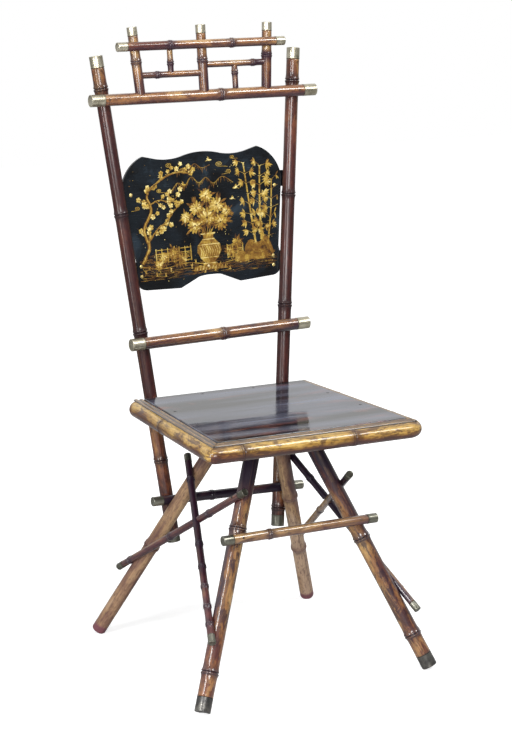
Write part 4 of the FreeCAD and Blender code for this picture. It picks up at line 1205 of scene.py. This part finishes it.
def on_panel(u, v):
    """True where a spot of the panel lies inside its edge by a margin."""
    spot = np.array((u, v))
    first = PANEL_OUTLINE
    second = np.roll(first, -1, 0)
    run = second - first
    share = np.clip(((spot - first) * run).sum(1) / (run * run).sum(1), 0, 1)
    if np.linalg.norm(first + share[:, None] * run - spot, axis=1).min() < PANEL_MARGIN:
        return False
    above = (first[:, 1] > v) != (second[:, 1] > v)
    rise = np.where(run[:, 1] == 0, TINY, run[:, 1])
    return bool(((u < first[:, 0] + (v - first[:, 1]) * run[:, 0] / rise) & above).sum() % 2)


def flow(marks, steps=8):
    """A smooth line through marks."""
    marks = np.array(marks, float)
    ends = np.vstack([2 * marks[0] - marks[1], marks, 2 * marks[-1] - marks[-2]])
    line = []
    for p, q, r, s in zip(ends, ends[1:], ends[2:], ends[3:]):
        for t in np.arange(steps) / steps:
            line.append(.5 * (2 * q + (r - p) * t + (2 * p - 5 * q + 4 * r - s) * t ** 2
                              + (3 * q - p - 3 * r + s) * t ** 3))
    return np.array(line + [marks[-1]])


class GiltSheet:
    """Thin raised plates and lines of gold on the panel."""

    def __init__(self):
        self.points = []
        self.faces = []
        self.tones = []
        self.layer = 0

    def height(self):
        self.layer += 1
        return GILT_RISE + self.layer * GILT_STEP

    def plate(self, outline, tone):
        outline = [(float(u), float(v)) for u, v in outline]
        area = sum(a[0] * b[1] - b[0] * a[1] for a, b in zip(outline, outline[1:] + outline[:1]))
        outline = outline if area > 0 else outline[::-1]
        top = self.height()
        base = len(self.points)
        count = len(outline)
        self.points += [(u, v, top) for u, v in outline] + [(u, v, GILT_FOOT) for u, v in outline]
        self.tones += [tone] * (2 * count)
        self.faces.append(tuple(range(base, base + count)))
        self.faces.append(tuple(range(base + 2 * count - 1, base + count - 1, -1)))
        self.faces += ring_quads(base, 2, count)

    def line(self, path, width, tone, thin_start=1.0, thin_end=1.0):
        path = np.array(path, float)
        run = np.gradient(path, axis=0)
        pace = np.maximum(np.linalg.norm(run, axis=1), TINY)
        side = np.stack([-run[:, 1], run[:, 0]], 1) / pace[:, None]
        wide = width / 2 * np.linspace(thin_start, thin_end, len(path))[:, None]
        top = self.height()
        base = len(self.points)
        for a, b in zip(path + side * wide, path - side * wide):
            self.points += [(*a, top), (*b, top), (*b, GILT_FOOT), (*a, GILT_FOOT)]
        self.tones += [tone] * (4 * len(path))
        last = base + 4 * (len(path) - 1)
        for k in range(base, last, 4):
            for j in range(4):
                self.faces.append((k + (j + 1) % 4, k + j, k + 4 + j, k + 4 + (j + 1) % 4))
        self.faces.append((base, base + 1, base + 2, base + 3))
        self.faces.append((last + 3, last + 2, last + 1, last))


sheet = GiltSheet()
strewn = {"leaf": [], "petal": [], "blade": [], "dot": []}
chance = np.random.default_rng(CHANCE_SEED)


def strew(kind, u, v, turn, length, width, tone):
    """One leaf, petal, blade of grass or dot, if all of it lies on the panel."""
    if on_panel(u, v) and on_panel(*polar((u, v), turn, length)):
        strewn[kind].append((u, v, turn, length, width, tone))


def leaf_spray(u, v, turn, count, length, tone):
    for i in range(count):
        fan = (i - (count - 1) / 2) * .42 + chance.uniform(-.1, .1)
        size = length * chance.uniform(.75, 1.15)
        strew("leaf", u, v, turn + fan, size, size * .26, tone + chance.uniform(-.18, .18))


# The sprays on a cane's twig: range of their turn, leaves, range of the leaves' length, tone
CANE_SPRAYS = (((1.9, 2.6), 4, (9, 13), .6), ((.9, 1.6), 3, (8, 11), .5))


def cane(foot, top, width, joints):
    """A bamboo cane in gold, with gaps at its joints and sprays of leaves."""
    sway = ((foot[0] + top[0]) / 2 + chance.uniform(-3, 3), (foot[1] + top[1]) / 2)
    line = flow([foot, sway, top], 30)
    cuts = np.linspace(0, len(line) - 1, joints + 1).astype(int)
    for a, b in zip(cuts, cuts[1:]):
        sheet.line(line[a:b], width * (1 - .4 * a / len(line)), .55 + chance.uniform(-.12, .12))
        u, v = line[b - 1]
        sheet.line([(u - width * .8, v + .2), (u + width * .8, v + .2)], .7, .8)
        for way in (-1, 1):
            if chance.random() < .85:
                reach = chance.uniform(7, 15)
                lean = chance.uniform(.2, .8)
                tip = (u + way * reach * math.cos(lean), v + reach * math.sin(lean))
                sheet.line([(u, v), tip], .6, .5)
                for turns, count, lengths, tone in CANE_SPRAYS:
                    turn = math.pi / 2 - way * chance.uniform(*turns)
                    leaf_spray(*tip, turn, count, chance.uniform(*lengths), tone)


def blossom(u, v, size, petals=5, tone=.75):
    turn = chance.uniform(0, 2)
    for i in range(petals):
        strew("petal", u, v, turn + 2 * math.pi * i / petals, size, size * .85,
              tone + chance.uniform(-.12, .12))
    strew("dot", u, v, 0, size * .4, size * .4, .25)


def full_flower(u, v, size, tone):
    """A many-petalled garden flower: three rings of petals round a dark eye."""
    for ring, (reach, count) in enumerate(((1, 13), (.74, 11), (.46, 8))):
        for i in range(count):
            turn = 2 * math.pi * (i + .5 * ring) / count + chance.uniform(-.08, .08)
            strew("petal", *polar((u, v), turn, size * .1), turn, size * reach, size * .34,
                  tone - .1 + .16 * ring + chance.uniform(-.2, .2))
    for i in range(5):
        eye = polar((u, v), 2 * math.pi * i / 5, size * .13)
        strew("dot", *eye, 0, size * .12, size * .12, .15)


def leafy_flower(u, v, size, stem, leaves, tone):
    """A full flower on a stem. Its leaves: count, distance out, length and width by size, tone."""
    count, out, length, width, leaf_tone = leaves
    sheet.line(stem, 1.1, .4)
    for _ in range(count):
        turn = chance.uniform(0, 2 * math.pi)
        strew("leaf", *polar((u, v), turn, size * out), turn, size * length, size * width,
              leaf_tone + chance.uniform(-.12, .15))
    full_flower(u, v, size, tone)


def bough(marks, width, twigs):
    """A gnarled bough with twigs, blossoms and buds."""
    line = flow(marks, 9)
    line += chance.normal(0, .35, line.shape)
    sheet.line(line, width, .32, 1, .28)
    sheet.line(line + (0, width * .16), width * .28, .62, 1, .3)
    for k in np.linspace(len(line) * .18, len(line) - 2, twigs).astype(int):
        u, v = line[k]
        run = line[k + 1] - line[k]
        turn = math.atan2(run[1], run[0]) + chance.choice((-1, 1)) * chance.uniform(.5, 1.2)
        reach = chance.uniform(9, 20)
        half, tip = polar((u, v), turn, reach * .5), polar((u, v), turn, reach)
        half = (half[0] + chance.uniform(-1, 1), half[1])
        tip = (tip[0], tip[1] + chance.uniform(0, 3))
        twig = flow([(u, v), half, tip], 5)
        if not on_panel(*twig[-1]):
            continue
        sheet.line(twig, 1.2, .4, 1, .5)
        for spot in (twig[-1], twig[len(twig) // 2] + chance.uniform(-3, 3, 2)):
            blossom(*spot, chance.uniform(3.4, 5.0))
        for _ in range(3):
            bud = twig[chance.integers(2, len(twig))] + chance.uniform(-4, 4, 2)
            strew("dot", *bud, 0, 1.3, 1.3, .8)


def grass(u, v, count, length):
    for i in range(count):
        turn = math.pi / 2 + (i - (count - 1) / 2) * .28 + chance.uniform(-.1, .1)
        strew("blade", u + (i - count / 2) * .8, v, turn, length * chance.uniform(.6, 1.1),
              length * .12, .5 + chance.uniform(-.2, .3))


def boulder(marks, tone):
    """A garden stone: a plate with paler creases."""
    outline = flow(list(marks) + [marks[0]], 6)[:-1]
    sheet.plate(outline, tone)
    middle = outline.mean(0)
    for share in (.82, .6, .38):
        inner = middle + (outline - middle) * share
        k = chance.integers(0, len(inner))
        sheet.line(np.roll(inner, k, 0)[:int(len(inner) * .62)], .8, tone + .3, .4, .4)


# An urn's right side (half width, height) and its bands (height, half width), as shares
URN_SIDE = [(.28, 0), (.3, .05), (.2, .1), (.34, .2), (.5, .42), (.47, .62), (.3, .76), (.2, .84),
            (.22, .93), (.32, 1)]
URN_BANDS = ((.06, .28), (.24, .38), (.64, .45), (.8, .25), (.97, .3))


def urn(u, v, wide, tall):
    """A footed garden urn with bands of hatching."""
    right = [(u + x * wide, v + y * tall) for x, y in URN_SIDE]
    left = [(u - x * wide, v + y * tall) for x, y in URN_SIDE[::-1]]
    sheet.plate(right + left, .42)
    for level, half in URN_BANDS:
        sheet.line([(u + x * wide, v + level * tall) for x in (-half, half)], 1.1, .85)
    for i in np.linspace(-.38, .38, 9):
        hatch = ((i, .28), (i + .07, .44), (i, .6))
        sheet.line([(u + x * wide, v + y * tall) for x, y in hatch], .7, .8)
    for i in np.linspace(-.2, .2, 4):
        blossom(u + i * wide * 1.5, v + .44 * tall, 2.2, 5, .9)


def cloud_scroll(u, v, size, way):
    """A scroll of cloud with a long tail."""
    turns = np.linspace(0, 3.4 * math.pi, 34)
    curl = np.stack([u + way * size * (.1 + turns / 12) * np.cos(turns),
                     v + size * (.1 + turns / 14) * np.sin(turns) * .7], 1)
    tail = [curl[-1] + (way * s * size * 2.6, -s * size * .25) for s in (.3, .6, 1)]
    sheet.line(np.vstack([curl, flow([curl[-1], *tail], 6)[1:]]), 1.7, .55, .6, .4)


# The key pattern of one bay, as shares of its width and height
RAILING_KEY = [(.2, .2), (.2, .8), (.8, .8), (.8, .35), (.45, .35), (.45, .6)]


def railing(left, right, foot, top, bays):
    """A garden railing with a key pattern in each bay."""
    for level in (foot, (foot + 2 * top) / 3, top):
        sheet.line([(left - 1, level), (right + 1, level)], 1.3, .55)
    wide = (right - left) / bays
    tall = (2 * top - 2 * foot) / 3
    for i, u in enumerate(np.linspace(left, right, bays + 1)):
        sheet.line([(u, foot - 2), (u, top + 2.5)], 1.5, .65)
        if i < bays:
            corners = [(u + a * wide, foot + b * tall) for a, b in RAILING_KEY]
            for first, second in zip(corners, corners[1:]):
                sheet.line([first, second], 1, .42)


def hills(marks, tone):
    """Far hills: a ridge line with strokes running down from it."""
    ridge = flow(marks, 8)
    sheet.line(ridge, 1.5, tone, .6, .6)
    for k in range(3, len(ridge) - 3, 2):
        u, v = ridge[k]
        reach = chance.uniform(3, 9)
        lean = np.sign(ridge[k + 1][1] - ridge[k - 1][1]) * chance.uniform(.5, 2.2)
        stroke = [(u, v - 1), (u - lean, v - 1 - reach / 2), (u - lean * 1.4, v - 1 - reach)]
        sheet.line(stroke, 1, tone - .1, 1, .3)


def finch(u, v, size, way):
    """A small bird on the wing."""
    strew("leaf", u - way * size * .5, v, 0 if way > 0 else math.pi, size, size * .34, .75)
    strew("leaf", u, v, math.pi / 2 + way * .5, size * .8, size * .26, .6)
    strew("leaf", u, v, math.pi / 2 + way * 1.1, size * .7, size * .24, .85)
    strew("blade", u - way * size * .4, v, math.pi / 2 + way * 1.9, size * .6, size * .14, .6)


def meadow(count):
    """Short strokes of dull gold over the ground."""
    for _ in range(count):
        u, v = chance.uniform(-128, 128), chance.uniform(-96, -40)
        half = chance.uniform(3, 9)
        if v > -62 + 14 * math.sin(u / 21) or not (on_panel(u - half, v) and on_panel(u + half, v)):
            continue
        stroke = [(u - half, v), (u, v + chance.uniform(-.4, 1)),
                  (u + half, v + chance.uniform(-.8, .8))]
        sheet.line(stroke, chance.uniform(1, 2), chance.uniform(.02, .36), .35, .35)


def earth_bank():
    """A bank of earth with hatching and grass."""
    bank = flow([(-128, -70), (-92, -77), (-40, -72), (10, -80), (60, -74), (100, -66), (128, -70)],
                10)
    sheet.line(bank, 2.0, .45, .6, .6)
    for drop in (4, 8.5, 13, 18):
        for k in range(2, len(bank) - 6, 5):
            if chance.random() < .62:
                a = bank[k] - (0, drop + chance.uniform(-1, 1))
                b = bank[k + 4] - (0, drop + chance.uniform(-1, 1))
                if on_panel(*a) and on_panel(*b):
                    tone = .38 + chance.uniform(-.1, .2)
                    sheet.line([a, (a + b) / 2 + (0, .5), b], 1.1, tone, .3, .5)
    for u in np.arange(-122, 124, 9.5):
        level = np.interp(u, bank[:, 0], bank[:, 1])
        grass(u + chance.uniform(-3, 3), level - chance.uniform(0, 15), 5, chance.uniform(6, 11))


# Rows of the design: flowers by place and size with their leaves (see leafy_flower), clouds and
# finches by place, size and way, then ridges, outlines and a bough
URN_FLOWERS = ((2, 2, 17), (-22, -10, 13), (27, -8, 13.5), (-17, 20, 12), (22, 22, 13),
               (3, 40, 11.5), (40, 10, 9), (-38, 6, 9))
URN_LEAVES = (7, .8, .95, .34, .2)
BUSH_FLOWERS = ((-66, -52, 10.5), (-84, -58, 8.5), (-52, -64, 8), (56, -46, 9), (42, -60, 8),
                (-96, -70, 7))
BUSH_LEAVES = (8, .7, 1, .36, .22)
CLOUDS = ((34, 92, 7, 1), (50, 78, 5.5, -1), (-62, 98, 6, 1), (-128, 30, 5, -1), (60, 102, 4.5, 1),
          (-84, 56, 5, 1))
FINCHES = ((16, 100, 9, 1), (60, 48, 10, -1), (-36, 62, 9, 1), (52, 30, 8, -1))
NEAR_HILLS = [(-62, 52), (-48, 66), (-36, 59), (-22, 74), (-8, 63), (6, 71), (20, 60), (38, 70),
              (58, 58)]
FAR_HILLS = [(-50, 82), (-38, 90), (-28, 85), (-14, 96), (0, 88), (16, 92)]
BIG_STONE = [(74, -78), (70, -58), (82, -44), (98, -50), (112, -40), (122, -56), (124, -74),
             (100, -80)]
SMALL_STONE = [(52, -80), (50, -68), (60, -62), (72, -66), (74, -80)]
BIG_BOUGH = [(-126, -66), (-112, -38), (-118, -8), (-102, 24), (-108, 50), (-84, 72), (-52, 84),
             (-22, 80)]


def draw_panel():
    """A garden: an urn of flowers between a bough and canes on stones, before far hills."""
    meadow(900)
    earth_bank()
    hills(NEAR_HILLS, .45)
    hills(FAR_HILLS, .35)
    railing(-100, -34, -66, -45, 6)
    railing(36, 66, -70, -50, 3)
    # Stones and canes on the right
    boulder(BIG_STONE, .3)
    boulder(SMALL_STONE, .42)
    cane((92, -50), (80, 92), 3.4, 8)
    cane((104, -46), (112, 84), 3.8, 8)
    cane((116, -54), (133, 58), 2.8, 7)
    # Bough from the left
    bough(BIG_BOUGH, 6.4, 13)
    bough([(-112, -30), (-92, -8), (-72, 4), (-58, 22)], 3.2, 6)
    bough([(-104, 34), (-84, 40), (-66, 34), (-50, 44)], 2.6, 6)
    # Urn with garden flowers in the middle, and flowering bushes beside it
    sheet.plate([(-32, -88), (34, -88), (30, -80), (-28, -80)], .34)
    for u in np.linspace(-26, 28, 10):
        sheet.line([(u, -87), (u + 2.4, -81)], .9, .75)
    urn(1, -80, 46, 56)
    for u, v, size in URN_FLOWERS:
        stem = flow([(1 + (u - 1) * .12, -26), ((u + 1) / 2, (v - 20) / 2), (u, v)], 7)
        leafy_flower(u, v, size, stem, URN_LEAVES, .6)
    for u, v, size in BUSH_FLOWERS:
        stem = flow([(u + 2, v - size * 2), (u - 1, v - size), (u, v)], 5)
        leafy_flower(u, v, size, stem, BUSH_LEAVES, .5)
    # Sky
    for row in CLOUDS:
        cloud_scroll(*row)
    for row in FINCHES:
        finch(*row)
    for _ in range(150):
        u, v = chance.uniform(-140, 140), chance.uniform(-100, 108)
        length, width = chance.uniform(.8, 1.5), chance.uniform(.8, 1.5)
        strew("dot", u, v, 0, length, width, chance.uniform(.3, .9))


def scatter_tree():
    """Sets one gold motif on every marked spot, turned and sized as marked."""
    tree, given = geometry_tree("gilt_scatter", {
        "Motif": "Object", "Relief": "Float", "Material": "Material"})
    shape = tree.add("GeometryNodeObjectInfo", {"Object": given["Motif"]})
    turn = tree.add("ShaderNodeCombineXYZ", {"Z": tree.mark("turn")})
    size = tree.add("ShaderNodeCombineXYZ", {"X": tree.mark("length"), "Y": tree.mark("width"),
                                             "Z": given["Relief"]})
    spread = tree.add("GeometryNodeInstanceOnPoints", {
        "Points": given["Geometry"], "Instance": shape.outputs["Geometry"],
        "Rotation": turn.outputs[0], "Scale": size.outputs[0]})
    toned = tree.add("GeometryNodeStoreNamedAttribute", {
        "Geometry": spread.outputs["Instances"], "Name": "gilt", "Value": tree.mark("gilt")},
        data_type="FLOAT", domain="INSTANCE")
    return close_tree(tree, toned.outputs["Geometry"], given["Material"])


# Motifs one unit long and one wide: the outline, and the places of the ridge along the middle
MOTIFS = {
    "leaf": ([(0, 0), (.2, -.32), (.45, -.5), (.75, -.3), (1, 0), (.75, .3), (.45, .5), (.2, .32)],
             (.2, .5, .8)),
    "petal": ([(0, 0), (.35, -.3), (.75, -.5), (1, -.22), (1, .22), (.75, .5), (.35, .3)],
              (.3, .75)),
    "blade": ([(0, -.5), (.5, -.4), (1, 0), (.5, .4), (0, .5)], (.1, .6)),
    "dot": ([(.5 * math.cos(t), .5 * math.sin(t)) for t in np.arange(8) * math.pi / 4], (0,)),
}
# Heights of a motif's edge and foot, where its ridge has 1
MOTIF_EDGE, MOTIF_FOOT = .55, -.2


def motif(name, outline, ridge):
    """A raised motif with a ridge along its middle."""
    count = len(outline)
    points = [(u, v, level) for level in (MOTIF_EDGE, MOTIF_FOOT) for u, v in outline]
    points += [(u, 0, 1) for u in ridge]
    nearest = [2 * count + int(np.argmin([abs(u - place) for place in ridge])) for u, _ in outline]
    faces = []
    for i in range(count):
        j = (i + 1) % count
        faces.append((i, count + i, count + j, j))
        first, second = nearest[i], nearest[j]
        faces.append((i, j, second, first) if first != second else (i, j, first))
    faces.append(tuple(range(2 * count - 1, count - 1, -1)))
    thing = mesh_object("motif_" + name, points, faces)
    face_outwards(thing.data, lambda face: False)
    return thing


def gild_panel():
    """Draws the design, sets its motifs and stands it on the panel's face as one piece."""
    draw_panel()
    gold = finishes["panel_gilding"]
    group = scatter_tree()
    points, faces, tones = sheet.points, sheet.faces, sheet.tones
    shapes = {kind: motif(kind, *look) for kind, look in MOTIFS.items()}
    for kind, rows in strewn.items():
        rows = np.array(rows)
        heights = STREWN_RISE + STREWN_STEP * np.arange(len(rows))
        spots = mesh_object("spots_" + kind, np.column_stack([rows[:, 0], rows[:, 1], heights]), [])
        for column, name in enumerate(("turn", "length", "width", "gilt"), 2):
            store(spots.data, name, rows[:, column])
        mesh = run_tree(spots, group, {
            "Motif": shapes[kind], "Relief": STREWN_RELIEF, "Material": gold}, "strewn_" + kind)
        base = len(points)
        points += [tuple(p) for p in points_of(mesh)]
        tone = np.empty(len(mesh.vertices), np.float32)
        mesh.attributes["gilt"].data.foreach_get("value", tone)
        tones += list(tone)
        faces += [tuple(base + k for k in face.vertices) for face in mesh.polygons]
        bpy.data.objects.remove(spots)
    for thing in shapes.values():
        bpy.data.objects.remove(thing)
    flat = np.array(points)
    cos, sin = math.cos(PANEL_TILT), math.sin(PANEL_TILT)
    plane = flat[:, :2] @ np.array(((cos, -sin), (sin, cos))).T + (PANEL_SHIFT, 0)
    placed = PANEL_MIDDLE + plane[:, :1] * PANEL_RIGHT + plane[:, 1:] * PANEL_RISING
    placed = placed + (PANEL_FACE + flat[:, 2:]) * PANEL_FORWARD
    thing = mesh_object("panel_gilding", placed * MM, faces)
    store(thing.data, "gilt", tones)
    thing.data.materials.append(gold)
    hand_over(thing)


gild_panel()

# CAD nodes that stay as they are get their finish
STAYING = {
    "seat_lacquer": ["seat_board"],
    "panel_lacquer": ["back_panel", "panel_batten_upper", "panel_batten_lower"],
    "bead_wood": ["seat_bead_rear"],
    "pin_brass": ["panel_pins"],
    "plain_wood": ["seat_cleat_front", "seat_cleat_rear", "seat_cleat_left", "seat_cleat_right",
                   "leg_block", "rail_dowels", "fret_dowels", "rail_pegs", "stretcher_pegs"],
    "nail_iron": ["seat_nails"],
    "steel": ["batten_nails", "block_screws", "brace_pins", "post_leg_pins"],
}
for finish, names in STAYING.items():
    for name in names:
        cad[name].data.materials.clear()
        cad[name].data.materials.append(finishes[finish])

# Floor, light and camera, in metres
FLOOR_HALF = 6
FLOOR_DROP = -.0004
# Soft boxes: azimuth (0 in front, 90 at the right) and height in degrees, distance, size, power
LAMPS = {
    "key_box": (-70, 11, 2.8, (.4, 1.9), 42),
    "left_box": (-58, 33, 2.8, (.16, .9), 22),
    "rail_box": (40, 46, 2.8, (.6, .75), 42),
    "front_box": (-25, 15, 4.3, (1.8, 1.4), 140),
    "overhead_box": (-10, 76, 2.6, (1.8, .7), 24),
}
LAMP_AIM = Vector((0, 0, .5))
# The camera's focal length and the picture's height in pixels
FOCAL, PICTURE_HEIGHT = 2256.12, 729
SENSOR = 36
CAMERA_PLACE = Vector((-1.69809, -3.25898, 1.32489))
CAMERA_AIM = Vector((-.0283, -.05319, .51562))


def make_floor():
    """A sheet of pale paper that the camera sees as white, a little greyer under the chair."""
    corners = [(x * FLOOR_HALF, y * FLOOR_HALF, FLOOR_DROP)
               for x, y in ((-1, -1), (1, -1), (1, 1), (-1, 1))]
    floor = mesh_object("floor", corners, [(0, 1, 2, 3)])
    f = Finish("floor_paper")
    shown = f.add("ShaderNodeLightPath").outputs["Is Camera Ray"]
    paper = f.ramp(f.noise(f.place(), 40, 3), [(.3, "c9c9c9"), (.7, "cdcdcd")])
    far = f.add("ShaderNodeVectorMath", {0: f.place()}, operation="LENGTH").outputs["Value"]
    glow = f.math("MULTIPLY", shown, f.span(far, .3, 1.1, .7, 1.0))
    f.finish(Base_Color=paper, Roughness=.9, Specular_IOR_Level=.1, Emission_Color=(1, 1, 1, 1),
             Emission_Strength=glow)
    floor.data.materials.append(f.material)


def light_world():
    """White behind the chair, dim as a light, and in reflections darker towards the front."""
    world = bpy.data.worlds.new("studio")
    scene.world = world
    world.use_nodes = True
    sky = Wiring(world.node_tree)
    background = sky.tree.nodes["Background"].inputs
    background["Color"].default_value = (1, 1, 1, 1)
    rays = sky.add("ShaderNodeLightPath").outputs
    clear = sky.math("MAXIMUM", rays["Is Camera Ray"], rays["Is Transmission Ray"])
    toward = sky.add("ShaderNodeTexCoord").outputs["Generated"]
    heading = sky.add("ShaderNodeSeparateXYZ", {0: toward}).outputs
    behind = sky.span(heading["Y"], -.45, .3, .3, 1.0)
    climb = sky.span(heading["Z"], .05, .4, .7, 1.3)
    mirrored = sky.math("MULTIPLY", rays["Is Glossy Ray"], sky.math("MULTIPLY", behind, climb))
    plain = sky.math("MULTIPLY", rays["Is Diffuse Ray"], .08)
    shown = sky.math("MAXIMUM", clear, mirrored)
    sky.feed(background["Strength"], sky.math("MAXIMUM", shown, plain))


def aim_at(thing, place, aim):
    thing.location = place
    thing.rotation_euler = (aim - place).to_track_quat("-Z", "Y").to_euler()
    scene.collection.objects.link(thing)


def hang_lamp(name, azimuth, height, distance, size, power):
    turn, rise = math.radians(azimuth), math.radians(height)
    level = math.cos(rise)
    way = Vector((math.sin(turn) * level, -math.cos(turn) * level, math.sin(rise)))
    data = bpy.data.lights.new(name, "AREA")
    data.shape = "RECTANGLE"
    data.size, data.size_y = size
    data.energy = power
    aim_at(bpy.data.objects.new(name, data), LAMP_AIM + distance * way, LAMP_AIM)


make_floor()
light_world()
for name, row in LAMPS.items():
    hang_lamp(name, *row)
camera_data = bpy.data.cameras.new("camera")
camera_data.sensor_width = SENSOR
camera_data.lens = FOCAL / PICTURE_HEIGHT * SENSOR
camera = bpy.data.objects.new("camera", camera_data)
aim_at(camera, CAMERA_PLACE, CAMERA_AIM)
scene.camera = camera

bpy.context.view_layer.update()
